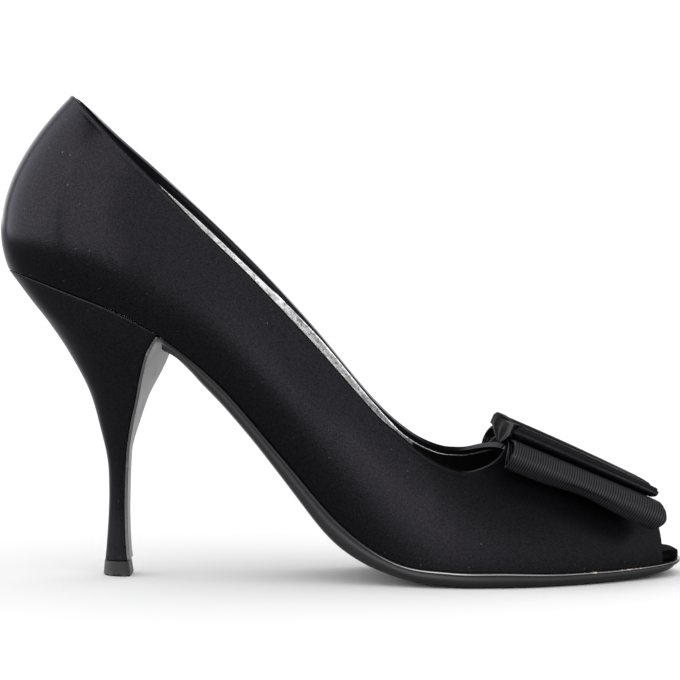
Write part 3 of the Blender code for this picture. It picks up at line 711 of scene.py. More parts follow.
def make_upper():
    stations = side_stations()
    lateral, medial = side_lines(stations, LATERAL), side_lines(stations, MEDIAL)
    lines = [respaced(line) for line in lateral[::-1] + medial[1:]]
    grid = np.array([points for points, _ in lines])
    up_mm = np.array([rows for _, rows in lines]) / MM
    place = np.concatenate([stations[::-1], stations[1:]])
    sides = np.repeat([LATERAL, MEDIAL], [len(stations), len(stations) - 1])[:, None]
    edge_mm = nearest_mm(grid, grid[place <= STATION["throat"], -1])
    near_throat = np.clip(place - STATION["throat"] + 1, 0, 1)[:, None]
    rise = fold_rise(edge_mm, near_throat) - crease_depths(grid, up_mm, sides)
    grid = grid + sheet_normals(grid) * rise[..., None]
    charts = {
        "cloth": np.stack([grid[..., 0] / MM, up_mm], axis=2),
        "collar": np.stack([edge_mm, up_mm], axis=2),
    }
    faces = grid_faces(*grid.shape[:2])
    finishes = [upper_satin, lining]
    upper = make_piece("satin_upper", grid, faces, finishes, charts, "upper")
    weld(upper)
    thicken(upper, WALL, -1, inner=1)
    soften(upper, COLLAR_ROUND)
    return upper


satin_upper = make_upper()

# %% [markdown]
# ## The insole
# A thin board, covered with a smooth leather sock, closes the bottom of the shoe inside. It shows
# at the open toe and past the collar. The leather is black and softly polished in patches. They
# could be painted, but a slow noise lays them out as well, and a finer one is the grain.

# %% Sock leather
SOCK = (0.0020, 0.0020, 0.0023, 1)
SOCK_RUBBED = (0.005, 0.005, 0.005, 1)
SOCK_EDGE = (0.15, 0.15, 0.15, 1)
SOCK_MIRROR, SOCK_SOFTNESS, SOCK_POLISH = 0.85, 0.52, 0.12
SOCK_GRAIN_SCALE, SOCK_RUB_SCALE = 900.0, 60.0
SOCK_RUB_RANGE = (0.45, 0.75)
SOCK_RELIEF = 0.00005


def make_sock_leather():
    swatch = Swatch(
        "sock_leather", Metallic=SOCK_MIRROR, Specular_IOR_Level=FAINT_SHINE, Specular_Tint=SOCK_EDGE
    )
    place = swatch.place()
    grain = swatch.noise(place, SOCK_GRAIN_SCALE, 3.0)
    wear_and_throat_highlight = swatch.noise(place, SOCK_RUB_SCALE, 3.0).rises(*SOCK_RUB_RANGE)
    swatch.wear({
        "Base Color": swatch.blend(wear_and_throat_highlight, SOCK, SOCK_RUBBED),
        "Roughness": SOCK_SOFTNESS - SOCK_POLISH * wear_and_throat_highlight,
        "Normal": swatch.relief(SOCK_RELIEF * grain),
    })
    return swatch


sock_leather = make_sock_leather()
print("the sock leather is softly rubbed")

# %% [markdown]
# A strip of the last's bottom, drawn in by the thickness of the wall, gets a second strip above it
# that comes down to the edge in a quarter round, small along the sides and larger at the toe,
# where the covered edge of the board can be seen. A bevel would have one radius all the way round.

# %% Insole
INSOLE_THICK = 0.0033
INSOLE_START, INSOLE_END = 0.12, 0.04
INSOLE_STEPS, INSOLE_POINTS = 12, 41
TOE_EASE, TOE_OUT = 0.02, 0.0003
EDGE_SHARE = 0.30
SIDE_ROUND_MM, TOE_ROUND_MM = 1.0, 3.4


def make_insole():
    stations = np.linspace(INSOLE_START, TIP - INSOLE_END, INSOLE_STEPS * TIP)
    edges, round_mm = [], []
    for side in (LATERAL, MEDIAL):
        along = x_to_along(last_at(stations, side)[:, 0])
        toe = np.clip((along - SECTIONS[STATION["opening"]].along) / TOE_EASE, 0, 1)
        inset = (WALL + 2 * GAP) * (1 - toe) - TOE_OUT * toe
        edges.append(edge_points(stations, side, -inset, GAP / 2))
        round_mm.append(SIDE_ROUND_MM + (TOE_ROUND_MM - SIDE_ROUND_MM) * toe)
    share = (1 - np.cos(np.linspace(0, math.pi, INSOLE_POINTS)))[None, :, None] / 2
    board = edges[0][:, None] * (1 - share) + edges[1][:, None] * share
    rim = np.concatenate([edges[0], edges[1], board[-1]])
    inside = np.clip(nearest_mm(board, rim) / np.mean(round_mm, axis=0)[:, None], 0, 1)
    height = EDGE_SHARE + (1 - EDGE_SHARE) * np.sqrt(inside * (2 - inside))
    sock = board + height[..., None] * [0, 0, INSOLE_THICK]
    grid = np.concatenate([sock, board[:, ::-1]], axis=1).swapaxes(0, 1)
    charts = {"cloth": grid[..., :2] / MM}
    faces = capped_faces(*grid.shape[:2])
    return make_piece("sock_insole", grid, faces, [sock_leather], charts, "insole")


sock_insole = make_insole()

# %% [markdown]
# ## The sole
# The sole is stiff leather, cut out a little wider than the upper, with its edge blacked and
# burnished. Its narrow ledge shines most, towards the toe, where it is also rubbed tan in a few
# spots, and the tread is scuffed grey. One finish could be put on each of these, but a chart of
# how far down the edge a point lies lets one leather wear all of them.

# %% Sole leather
SOLE_BLACK = (0.008, 0.0078, 0.0084, 1)
WORN_TAN = (0.20, 0.15, 0.11, 1)
TREAD_GREY = (0.050, 0.047, 0.045, 1)
SOLE_SHINE, LEDGE_POLISH, LEDGE_IOR = 0.075, 0.15, 1.8
SOLE_SOFTNESS, STREAK_SHIMMER, SCUFF_SOFTER, RUB_SOFTER = 0.30, 0.16, 0.25, 0.2
STREAK_MM, STREAK_LINES = 9.0, 14.0
SOLE_GRAIN_SCALE, PATCH_SCALE, SCUFF_SCALE = 700.0, 800.0, 75.0
PATCH_RANGE, SCUFF_RANGE = (0.56, 0.66), (0.45, 0.70)
ON_LEDGE, ON_TREAD = (0.20, 0.12), (1.02, 1.10)
RUBBED_FROM_MM, RUBBED_TO_MM = (76.0, 86.0), (104.0, 100.0)
SCUFFED_FROM_MM, SHINE_FROM_MM = (8.0, 24.0), (4.0, 34.0)
SOLE_RELIEF = 0.00002


def make_sole_leather():
    swatch = Swatch(
        "sole_leather", Specular_IOR_Level=SOLE_SHINE, Coat_Roughness=LEDGE_POLISH, Coat_IOR=LEDGE_IOR
    )
    along, down = swatch.chart("edge")
    place = swatch.place()
    streaks = swatch.noise(swatch.vector(along / STREAK_MM, down * STREAK_LINES), 1.0, 3.0)
    grain = swatch.noise(place, SOLE_GRAIN_SCALE, 3.0)
    patches = swatch.noise(place, PATCH_SCALE, 2.0).rises(*PATCH_RANGE)
    scuffs = swatch.noise(place, SCUFF_SCALE, 4.0).rises(*SCUFF_RANGE)
    ledge = down.rises(*ON_LEDGE)
    wear_and_throat_highlight = ledge * patches * along.rises(*RUBBED_FROM_MM) * along.rises(*RUBBED_TO_MM)
    scuffed = down.rises(*ON_TREAD) * scuffs * along.rises(*SCUFFED_FROM_MM)
    dark = swatch.blend(scuffed, SOLE_BLACK, TREAD_GREY)
    wear = STREAK_SHIMMER * (streaks - 0.5) + SCUFF_SOFTER * scuffed + RUB_SOFTER * wear_and_throat_highlight
    swatch.wear({
        "Base Color": swatch.blend(wear_and_throat_highlight, dark, WORN_TAN),
        "Roughness": SOLE_SOFTNESS + wear,
        "Coat Weight": ledge * along.rises(*SHINE_FROM_MM),
        "Normal": swatch.relief(SOLE_RELIEF * (grain + streaks)),
    })
    return swatch


sole_leather = make_sole_leather()
print("the sole's edge is burnished, its tread is matt")

# %% [markdown]
# The sole's edge is one profile, written as pairs of a drop below the last and a step out from it:
# a narrow ledge, a rounded corner, a fine groove a quarter of the way down and a long turn in to
# the tread. A flat plate could be bent instead, but this edge is deeper in the waist and tucked
# under at the shank, so the profile is swept round both sides of the last and follows a table.

# %% Profile of the sole
SEAT_LATERAL, SEAT_MEDIAL = 4.93, 5.08
SOLE_START_LATERAL, SOLE_START_MEDIAL = 0.10, 0.13
SOLE_END = 0.03
SOLE_MARGIN = 0.0010
SOLE_EDGE_ROUND = 0.0011
SOLE_EDGE_LIFT = 0.0012
LEDGE_ROUND = 0.0005
GROOVE_AT = 0.25
GROOVE_HALF = 0.00028
GROOVE_DEPTH = 0.00022
GROOVE_SHAPE = ((-1, 0), (-0.4, 0.8), (0, 1), (0.4, 0.8), (1, 0))
ROUND_POINTS, WALL_POINTS = 5, 6

SoleDepth = namedtuple("SoleDepth", "along depth_mm tuck_mm")
SOLE_DEPTHS = [
    SoleDepth(0.243, 4.3, 3.5),
    SoleDepth(0.262, 3.6, 3.5),
    SoleDepth(0.283, 4.5, 3.8),
    SoleDepth(0.302, 5.6, 4.0),
    SoleDepth(0.339, 6.4, 4.5),
    SoleDepth(0.383, 6.8, 4.5),
    SoleDepth(0.428, 8.0, 4.0),
    SoleDepth(0.467, 8.8, 3.5),
    SoleDepth(0.498, 8.3, 3.0),
    SoleDepth(0.529, 7.0, 2.6),
    SoleDepth(0.555, 5.9, 2.4),
    SoleDepth(0.586, 5.3, 3.4),
    SoleDepth(0.643, 5.6, 3.6),
    SoleDepth(0.701, 5.8, 3.6),
    SoleDepth(0.758, 5.6, 3.6),
    SoleDepth(0.815, 5.0, 3.2),
    SoleDepth(0.877, 4.7, 2.6),
    SoleDepth(0.930, 4.1, 1.4),
    SoleDepth(0.969, 3.4, 1.2),
    SoleDepth(0.998, 2.3, 0.8),
]
SOLE_ALONG, SOLE_DEPTH_MM, SOLE_TUCK_MM = smooth_table(SOLE_DEPTHS)


def sole_profile(depth, tuck):
    """Drops below the last and steps out from it, from the ledge down to the tread."""
    groove = GROOVE_AT * depth
    low = depth - SOLE_EDGE_LIFT
    inner = SOLE_MARGIN - SOLE_EDGE_ROUND
    profile = []
    for turn in np.linspace(0, math.pi / 2, ROUND_POINTS):
        drop = GAP + LEDGE_ROUND * (1 - math.cos(turn))
        profile.append((drop, SOLE_MARGIN - LEDGE_ROUND * (1 - math.sin(turn))))
    for step, sink in GROOVE_SHAPE:
        profile.append((groove + step * GROOVE_HALF, SOLE_MARGIN - sink * GROOVE_DEPTH))
    for a in np.linspace(0, 1, WALL_POINTS):
        profile.append((depth / 2 + (low - depth / 2) * a, SOLE_MARGIN - SOLE_EDGE_ROUND * a**2))
    for a in np.linspace(0, 1, WALL_POINTS)[1:]:
        profile.append((low + SOLE_EDGE_LIFT * (1 - (1 - a) ** 2), inner - tuck * a))
    return profile


print("the sole is at most %.1f mm deep" % SOLE_DEPTH_MM.max())

# %% [markdown]
# Both sides are swept from the heel's breast to the tip and joined across the top and the tread.
# The chart counts from 0 at the ledge to 1 at the tread and goes on past 1 underneath, so that the
# leather can tell them apart.

# %% Sole
SOLE_RINGS, SOLE_ACROSS = 220, 7
TOP_CHART, TREAD_CHART = -0.1, 1.2
TURN_CHART = (0.04, 0.08, 0.12)


def sole_side(stations, side):
    """The sole's side as a grid of rings and profile points, with its chart."""
    along = x_to_along(last_at(stations, side)[:, 0])
    depth = np.interp(along, SOLE_ALONG, SOLE_DEPTH_MM) * MM
    tuck = np.interp(along, SOLE_ALONG, SOLE_TUCK_MM) * MM
    profile = np.array([sole_profile(d, t) for d, t in zip(depth, tuck)])
    points = [edge_points(stations, side, out, -drop) for drop, out in profile.transpose(1, 2, 0)]
    grid = np.stack(points, axis=1)
    grid[..., 2] = np.maximum(grid[..., 2], 0.0)
    down = profile[..., 0] / depth[:, None]
    down[:, -len(TURN_CHART):] += TURN_CHART
    return grid, down


def make_sole():
    end = TIP - SOLE_END
    lateral_stations = np.linspace(SEAT_LATERAL + SOLE_START_LATERAL, end, SOLE_RINGS)
    medial_stations = np.linspace(SEAT_MEDIAL + SOLE_START_MEDIAL, end, SOLE_RINGS)
    lateral, lateral_down = sole_side(lateral_stations, LATERAL)
    medial, medial_down = sole_side(medial_stations, MEDIAL)
    share = np.linspace(0, 1, SOLE_ACROSS + 1)[1:-1]
    top = lateral[:, :1] * (1 - share[:, None]) + medial[:, :1] * share[:, None]
    tread = medial[:, -1:] * (1 - share[:, None]) + lateral[:, -1:] * share[:, None]
    grid = np.concatenate([top, medial, tread, lateral[:, ::-1]], axis=1)
    flat = np.ones((SOLE_RINGS, len(share)))
    columns = [TOP_CHART * flat, medial_down, TREAD_CHART * flat, lateral_down[:, ::-1]]
    down = np.concatenate(columns, axis=1).swapaxes(0, 1)
    grid = grid.swapaxes(0, 1)
    charts = {"edge": np.stack([grid[..., 0] / MM, down], axis=2)}
    faces = capped_faces(*grid.shape[:2])
    return make_piece("leather_sole", grid, faces, [sole_leather], charts, "outsole")


leather_sole = make_sole()

# %% [markdown]
# ## The heel
# A tall heel is a plastic core with satin stretched round it from behind. It starts with the
# outline of the seat, shrinks through a table of rings into a slim stem and ends flat on its tip.
# Blending the rings gives one smooth flowing skin, which a stack of cylinders never would.

# %% Heel rings
HeelRing = namedtuple("HeelRing", "back_along back front_along front half turn")
HEEL_RINGS = [
    HeelRing(0.0425, 0.901, 0.2300, 0.735, 0.282, 9),
    HeelRing(0.0716, 0.819, 0.2185, 0.662, 0.235, 9),
    HeelRing(0.1010, 0.721, 0.2055, 0.585, 0.182, 6),
    HeelRing(0.1300, 0.598, 0.1950, 0.507, 0.138, 5),
    HeelRing(0.1470, 0.466, 0.1860, 0.424, 0.105, 2),
    HeelRing(0.1560, 0.373, 0.1835, 0.361, 0.085, 2),
    HeelRing(0.1580, 0.282, 0.1820, 0.282, 0.073, 3),
    HeelRing(0.1570, 0.194, 0.1815, 0.194, 0.067, 3),
    HeelRing(0.1540, 0.097, 0.1830, 0.097, 0.069, 3),
    HeelRing(0.1520, 0.052, 0.1850, 0.052, 0.071, 3),
]
TIP_RINGS = [
    HeelRing(0.1512, 0.0485, 0.1885, 0.0485, 0.073, 3),
    HeelRing(0.1495, 0.0060, 0.1915, 0.0060, 0.077, 3),
    HeelRing(0.1510, 0.0000, 0.1900, 0.0000, 0.073, 3),
]
print("the heel narrows to %.1f mm" % (2 * min(ring.half for ring in HEEL_RINGS) * BALL_WIDTH / MM))

# %% [markdown]
# Each point of the seat's outline has a share of depth, from the breast to the back, and a share
# of reach, from the middle to the sides. Every ring below uses the same shares in its own size, so
# the points of all rings lie under one another.

# %% Rows of the heel
SEAT_TURN = math.radians(4)
ROUND_STEPS = 60
BREAST_REACHES = np.linspace(1, -1, 25)[1:-1]
SEAT_BACK = last_at([0], MEDIAL)[0, :3]
SEAT_SIDES = np.array([last_at([SEAT_LATERAL], LATERAL)[0, :3], last_at([SEAT_MEDIAL], MEDIAL)[0, :3]])
SEAT_FRONT = SEAT_SIDES.mean(axis=0)


def heel_centre(x):
    return np.interp(x, [SEAT_BACK[0], SEAT_FRONT[0]], [SEAT_BACK[1], SEAT_FRONT[1]])


def seat_outline():
    """The seat's points, from the lateral breast round the back, with shares of depth and reach."""
    lateral = last_at(np.linspace(SEAT_LATERAL, 0, ROUND_STEPS + 1), LATERAL)[:, :3]
    medial = last_at(np.linspace(0, SEAT_MEDIAL, ROUND_STEPS + 1)[1:], MEDIAL)[:, :3]
    seat = np.concatenate([lateral, medial])
    sideways = seat[:, 1] - heel_centre(seat[:, 0])
    skew = sideways * math.tan(SEAT_TURN)
    depth = (seat[:, 0] - SEAT_FRONT[0] - skew) / (SEAT_BACK[0] - SEAT_FRONT[0] - skew)
    reach = sideways * 2 / (SEAT_SIDES[1, 1] - SEAT_SIDES[0, 1])
    return seat - [0, 0, GAP], np.maximum(depth, 0), reach


def ring_points(ring, depth, reach):
    half = ring.half * BALL_WIDTH
    front_x, back_x = along_to_x(ring.front_along), along_to_x(ring.back_along)
    middle_x = front_x + depth * (back_x - front_x)
    skew = reach * half * math.tan(math.radians(ring.turn)) * (1 - depth)
    z = (ring.front + depth * (ring.back - ring.front)) * HEEL_HEIGHT
    return np.stack([middle_x + skew, heel_centre(middle_x) + reach * half, z], axis=1)


SEAT, SEAT_DEPTH, SEAT_REACH = seat_outline()
RING_DEPTH = np.concatenate([SEAT_DEPTH, 0 * BREAST_REACHES])
RING_REACH = np.concatenate([SEAT_REACH, BREAST_REACHES])
SEAT_BREAST = SEAT[-1] + (SEAT[0] - SEAT[-1]) * ((1 - BREAST_REACHES) / 2)[:, None]
SEAT_RING = np.concatenate([SEAT, SEAT_BREAST])
HEEL_ROWS = np.array([SEAT_RING] + [ring_points(ring, RING_DEPTH, RING_REACH) for ring in HEEL_RINGS])
print("the heel tapers through", len(HEEL_ROWS), "rings")

# %% [markdown]
# The satin cover ends in a folded lip under the seat, which catches a thin line of light. The
# first ring is drawn in by the radius of that lip, so that the skin rolls over before it ends.

# %% Heel
LIP, LIP_PLACES, LIP_SHARE = 0.0009, (0, 0.02), 0.3
SKIN_START, SKIN_RINGS = 0.06, 110
GIRTH_RING = 20


def make_heel():
    places = np.concatenate([LIP_PLACES, np.linspace(SKIN_START, len(HEEL_ROWS) - 1, SKIN_RINGS)])
    rings = catmull(HEEL_ROWS, places)
    inward = rings[0].mean(axis=0) - rings[0]
    inward /= np.linalg.norm(inward, axis=1, keepdims=True)
    rings[0] += inward * LIP
    rings[1] += inward * LIP * LIP_SHARE
    grid = rings.swapaxes(0, 1)
    girth = rings[GIRTH_RING]
    down = np.cumsum(np.linalg.norm(np.diff(grid, axis=1, prepend=grid[:, :1]), axis=2), axis=1)
    around = np.cumsum(np.linalg.norm(np.diff(girth, axis=0, prepend=girth[:1]), axis=1))
    charts = {"cloth": np.stack([down, np.broadcast_to(around[:, None], down.shape)], axis=2) / MM}
    faces = capped_faces(*grid.shape[:2])
    return make_piece("satin_heel", grid, faces, [heel_satin], charts, "heel")


satin_heel = make_heel()

# %% [markdown]
# ## The heel's breast and tip
# A strip of smooth leather faces the front of the heel, where the satin's two edges are turned
# under it. The tip is a moulded piece of hard plastic, scraped grey where it meets the floor. Both
# are plain blacks, the leather glossier and the plastic duller, and could be left at that. A grain
# or pits from a fine noise and a little wear from a slower one keep them from looking like holes.

# %% Breast and tip finishes
BREAST_BLACK, BREAST_RUBBED = (0.015, 0.015, 0.016, 1), (0.045, 0.044, 0.044, 1)
BREAST_SHINE, BREAST_SOFTNESS, BREAST_DULLER = 0.5, 0.35, 0.14
BREAST_GRAIN_SCALE, BREAST_RUB_SCALE = 850.0, 190.0
BREAST_RUB_RANGE = (0.58, 0.75)
TIP_BLACK, TIP_WORN = (0.005, 0.005, 0.0052, 1), (0.03, 0.029, 0.028, 1)
TIP_SHINE, TIP_SOFTNESS, TIP_DULLER, PIT_SHIMMER = 0.1, 0.42, 0.25, 0.1
PIT_SCALE, TIP_WEAR_SCALE = 1300.0, 500.0
TO_FLOOR, TIP_WEAR_RANGE = (0.0016, 0.0002), (0.40, 0.62)
FINE_RELIEF = 0.00003


def make_breast_leather():
    swatch = Swatch("breast_leather", Specular_IOR_Level=BREAST_SHINE)
    place = swatch.place()
    grain = swatch.noise(place, BREAST_GRAIN_SCALE, 3.0)
    wear_and_throat_highlight = swatch.noise(place, BREAST_RUB_SCALE, 3.0).rises(*BREAST_RUB_RANGE)
    swatch.wear({
        "Base Color": swatch.blend(wear_and_throat_highlight, BREAST_BLACK, BREAST_RUBBED),
        "Roughness": BREAST_SOFTNESS + BREAST_DULLER * wear_and_throat_highlight,
        "Normal": swatch.relief(FINE_RELIEF * grain),
    })
    return swatch


def make_tip_plastic():
    swatch = Swatch("tip_plastic", Specular_IOR_Level=TIP_SHINE)
    place = swatch.place()
    _, _, up = swatch.parts(place)
    pits = swatch.noise(place, PIT_SCALE, 2.0)
    worn = up.rises(*TO_FLOOR) * swatch.noise(place, TIP_WEAR_SCALE, 3.0).rises(*TIP_WEAR_RANGE)
    swatch.wear({
        "Base Color": swatch.blend(worn, TIP_BLACK, TIP_WORN),
        "Roughness": TIP_SOFTNESS + TIP_DULLER * worn + PIT_SHIMMER * (pits - 0.5),
        "Normal": swatch.relief(FINE_RELIEF * pits),
    })
    return swatch


breast_leather = make_breast_leather()
tip_plastic = make_tip_plastic()
print("breast leather and tip plastic are mixed")

# %% [markdown]
# The facing is a sheet that is laid on the front of the heel's own rings and thickened, so its
# edge shows as a fine line. The tip carries the stem's last ring on to the floor, a touch wider
# than the stem and rounded at the bottom. A cylinder would not follow the stem's outline.

# %% Breast cover and tip
COVER_THICK, COVER_ROUND = 0.0010, 0.00025
COVER_START, COVER_STEPS = 0.20, 100
TIP_ROUND, TIP_ROUND_FROM_DEG = 0.0002, 60
WAIST_RINGS, FOOT_RINGS = 9, 5


def make_breast_cover():
    last_row = len(HEEL_ROWS) - 1
    places = np.linspace(COVER_START, last_row, COVER_STEPS)
    rings = catmull(HEEL_ROWS, places)
    lines = np.concatenate([rings[:, len(SEAT) - 1:], rings[:, :1]], axis=1)
    above = catmull(HEEL_ROWS, places - NORMAL_STEP)
    below = catmull(HEEL_ROWS, np.minimum(places + NORMAL_STEP, last_row))
    down = (below - above)[:, len(SEAT)]
    down /= np.linalg.norm(down, axis=1, keepdims=True)
    forward = np.stack([-down[:, 2], 0 * down[:, 0], down[:, 0]], axis=1)
    grid = lines + forward[:, None] * (GAP + COVER_THICK / 2)
    charts = {"cloth": grid[..., 1:] / MM}
    faces = grid_faces(*grid.shape[:2])
    finish = [breast_leather]
    cover = make_piece("breast_cover", grid, faces, finish, charts, "heel_breast_cover")
    thicken(cover, COVER_THICK, 0)
    soften(cover, COVER_ROUND)
    return cover


def make_tip():
    rings = np.array([ring_points(ring, RING_DEPTH, RING_REACH) for ring in TIP_RINGS])
    waist = rings[0] + (rings[1] - rings[0]) * np.linspace(0, 1, WAIST_RINGS)[:-1, None, None]
    foot = rings[1] + (rings[2] - rings[1]) * np.linspace(0, 1, FOOT_RINGS)[:, None, None] ** 2
    grid = np.concatenate([waist, foot]).swapaxes(0, 1)
    charts = {"cloth": grid[..., 1:] / MM}
    faces = capped_faces(*grid.shape[:2])
    tip = make_piece("heel_tip", grid, faces, [tip_plastic], charts, "heel_top_piece")
    soften(tip, TIP_ROUND, TIP_ROUND_FROM_DEG)
    return tip


breast_cover = make_breast_cover()
heel_tip = make_tip()

# %% [markdown]
# ## The bow
# Two ribbons lie across the vamp, each folded into a pair of loops that open towards the toe and
# the throat, and a band pulls them together in the middle. The lower ribbon is grosgrain, whose
# ribs carry painted shade in their furrows and a painted highlight on their crests. The upper ribbon and the
# band are mixed by the same helper as the shoe's satin, with a darker edge tint, so that they don't glare
# where they are seen edge-on.

# %% Ribbon finishes
RIBBON_TINT = (0.20, 0.20, 0.21, 1)
RIB_MM = 0.875
# Painted shade in the ribs' furrows and a painted highlight on their crests.
RIB_FURROW_PAINTED_SHADE = (0.0002, 0.0002, 0.0003, 1)
RIB_CREST_PAINTED_HIGHLIGHT = (0.0168, 0.0166, 0.0188, 1)
RIB_MIRROR, RIB_SOFTNESS, RIB_SHIMMER = 0.4, 0.46, 0.12
RIB_THREAD_MM, RIB_THREAD_APART_MM = 0.5, 0.14
RIB_LINT_SCALE, RIB_LINT_RANGE = 1300.0, (0.83, 0.87)
RIB_RELIEF = 0.00002


def make_grosgrain():
    swatch = Swatch(
        "ribbed_ribbon", Metallic=RIB_MIRROR, Specular_IOR_Level=FAINT_SHINE, Specular_Tint=EDGE_TINT
    )
    run, around = swatch.chart("cloth")
    threads = swatch.noise(swatch.vector(run / RIB_THREAD_MM, around / RIB_THREAD_APART_MM), 1.0, 1.0)
    rib = 0.5 + 0.5 * (run * (2 * math.pi / RIB_MM)).sine()
    lint = swatch.noise(swatch.place(), RIB_LINT_SCALE, 0.0).rises(*RIB_LINT_RANGE)
    # Painted light: the colour follows the ridges, dark in the furrows and light on the crests.
    ribbed = swatch.blend(rib, RIB_FURROW_PAINTED_SHADE, RIB_CREST_PAINTED_HIGHLIGHT)
    swatch.wear({
        "Base Color": swatch.blend(lint, ribbed, LINT),
        "Roughness": RIB_SOFTNESS + RIB_SHIMMER * (threads - 0.5),
        "Normal": swatch.relief(RIB_RELIEF * threads),
    })
    return swatch


grosgrain = make_grosgrain()
# The upper ribbon's mirror is raised as a painted highlight for folds that face a weak light; the band's is
# lowered as painted shade where it faces the strong heel light.
ribbon_satin = satin("satin_ribbon", softness=0.29, mirror_and_painted_light=2.2, edge_tint=RIBBON_TINT)
band_satin = satin("band_ribbon", softness=0.31, mirror_and_painted_light=0.6, edge_tint=RIBBON_TINT)
print("ribs are", RIB_MM, "mm apart")

# %% [markdown]
# The bow lies on the slope of the vamp and turns with the toe, so its pieces are worked out in a
# frame of their own: down the vamp, across it and out from it. They could be made flat and then
# moved, but points that are placed at once need no empties or parents.

# %% Place of the bow
BOW_SLOPE = math.radians(23.3)
BOW_YAW = math.radians(5.7)
BOW_SKEW = math.radians(3.3)
BOW_LIFT = 0.0001


def bow_points(run, reach, height):
    """Places on the bow: down the vamp, to the medial side and out from it, in metres."""
    throat = last_at([STATION["throat"]], MEDIAL)[0, 3:6]
    forward = np.array([math.cos(BOW_YAW), math.sin(BOW_YAW), 0.0])
    across = np.array([-math.sin(BOW_YAW), math.cos(BOW_YAW), 0.0])
    down = forward * math.cos(BOW_SLOPE) - np.array([0.0, 0.0, math.sin(BOW_SLOPE)])
    out = np.cross(down, across)
    slide = run - reach * math.tan(BOW_SKEW)
    return (throat + np.multiply.outer(slide, down) + np.multiply.outer(reach, across)
            + np.multiply.outer(height + BOW_LIFT, out))


print("the bow slopes by %.1f degrees" % math.degrees(BOW_SLOPE))

# %% [markdown]
# A loop is a closed path, pinched flat at the band and rounded at its end, that is drawn out along
# the ribbon's width. A curve with a bevel could do that, but here the path changes as it goes: the
# upper loops get lower towards the toe, and the lower ones are dented halfway.

# %% Loops of the bow
RIBBON_THICK = 0.0008
BAND_WIDTH = 0.0160
BAND_CLEAR = 0.0015
MID_REACH, FULL_REACH, END_REACH = 0.55, 0.82, 0.96
LOW_SWELL, HIGH_SWELL = 0.35, 0.45
KINK_AT, KINK_HALF = 0.50, 0.20

Ribbon = namedtuple(
    "Ribbon",
    "name start length half low high high_toe pinch_low pinch_high waist kink bulge flare swing",
)
LOWER = Ribbon("lower_ribbon", -1.2, 54.1, 29.5, -5.6, 3.0, 3.0, 1.8, 3.0, 5.0, 1.4, 2.2, 0.0, 1.8)
UPPER = Ribbon("upper_ribbon", -1.4, 50.2, 22.5, 4.0, 8.2, 6.9, 4.2, 5.8, 1.0, 0.0, 1.4, 2.0, 2.5)


def loop_path(ribbon, share, steps):
    """A ribbon's section at a share of its length: two loops, pinched flat at the middle."""
    half = ribbon.half - RIBBON_THICK / 2 / MM
    high = ribbon.high + (ribbon.high_toe - ribbon.high) * share**2
    kink = ribbon.kink * math.exp(-(((share - KINK_AT) / KINK_HALF) ** 2))
    low_mid = ribbon.pinch_low + (ribbon.low - ribbon.pinch_low) * LOW_SWELL
    high_mid = ribbon.pinch_high + (high - ribbon.pinch_high) * HIGH_SWELL
    middle = (ribbon.low + high) / 2
    flat = (BAND_WIDTH / 2 + BAND_CLEAR) / MM
    loop = [
        (flat, ribbon.pinch_low),
        (half * MID_REACH, low_mid),
        (half * FULL_REACH, ribbon.low + kink),
        (half * END_REACH, (ribbon.low + middle) / 2 + kink),
        (half, middle),
        (half * END_REACH, (high + middle) / 2),
        (half * FULL_REACH, high),
        (half * MID_REACH, high_mid),
        (flat, ribbon.pinch_high),
    ]
    lateral = [(-reach, height) for reach, height in reversed(loop)]
    path = [(0.0, ribbon.pinch_low), *loop, (0.0, ribbon.pinch_high), *lateral]
    return catmull(path, np.linspace(0, len(path), steps * len(path), endpoint=False), closed=True) * MM


print("the lower loops are %.0f mm across, the upper %.0f mm" % (2 * LOWER.half, 2 * UPPER.half))

# %% [markdown]
# The ribbons' ends are not straight either. At the toe the band draws them in at the middle, and
# their edges bulge and flare. At the throat the near loops swing back a little, because nothing
# holds them there. Each of these is a small shift down or up the vamp, added to the straight run.

# %% Runs of the ribbons
def waist_at(ribbon, reach):
    """How far the band draws a ribbon's toe end in, most at the middle and not at all at the loops."""
    under = BAND_WIDTH / 2 + BAND_CLEAR
    share = np.maximum(np.abs(reach) - under, 0) / (ribbon.half * MM - under)
    return ribbon.waist * MM * (1 - share) ** 2


def swing_at(ribbon, reach, share):
    """How far the lateral loop's throat end swings back towards the heel."""
    return ribbon.swing * MM * (1 - share) ** 4 * np.clip(-reach / (ribbon.half * MM), 0, 1) ** 2


def runs_at(ribbon, paths, shares):
    """How far down the vamp each point of a ribbon's paths lies."""
    half, middle = ribbon.half * MM, (ribbon.low + ribbon.high) / 2 * MM
    reach = paths[..., 0]
    spread = np.abs(paths[..., 1] - middle) / ((ribbon.high - ribbon.low) / 2 * MM)
    straight = (ribbon.start + ribbon.length * shares) * MM
    drawn_in = waist_at(ribbon, reach) * shares**2
    bulge = shares**8 * ribbon.bulge * MM * np.minimum(spread, 1) ** 2
    flare = shares**2 * ribbon.flare * MM * np.clip(reach / half, 0, 1)
    return straight - drawn_in - bulge + flare - swing_at(ribbon, reach, shares)


print("the band draws the lower ribbon in by", LOWER.waist, "mm")

# %% [markdown]
# The grosgrain's ribs are real low ridges, because light rakes across them, and the upper ribbon
# has a few pleats along its run. Both are added to the paths before the ribbon is thickened,
# so that its two faces and its edges follow them.

# %% Ribbons
RIB_HEIGHT = 0.00005
RIBBON_ROUND, RIBBON_ROUND_FROM_DEG, RIBBON_ROUND_STEPS = 0.00015, 75, 2
LOWER_RUNS, LOWER_STEPS = 281, 6
UPPER_RUNS, UPPER_STEPS = 41, 40

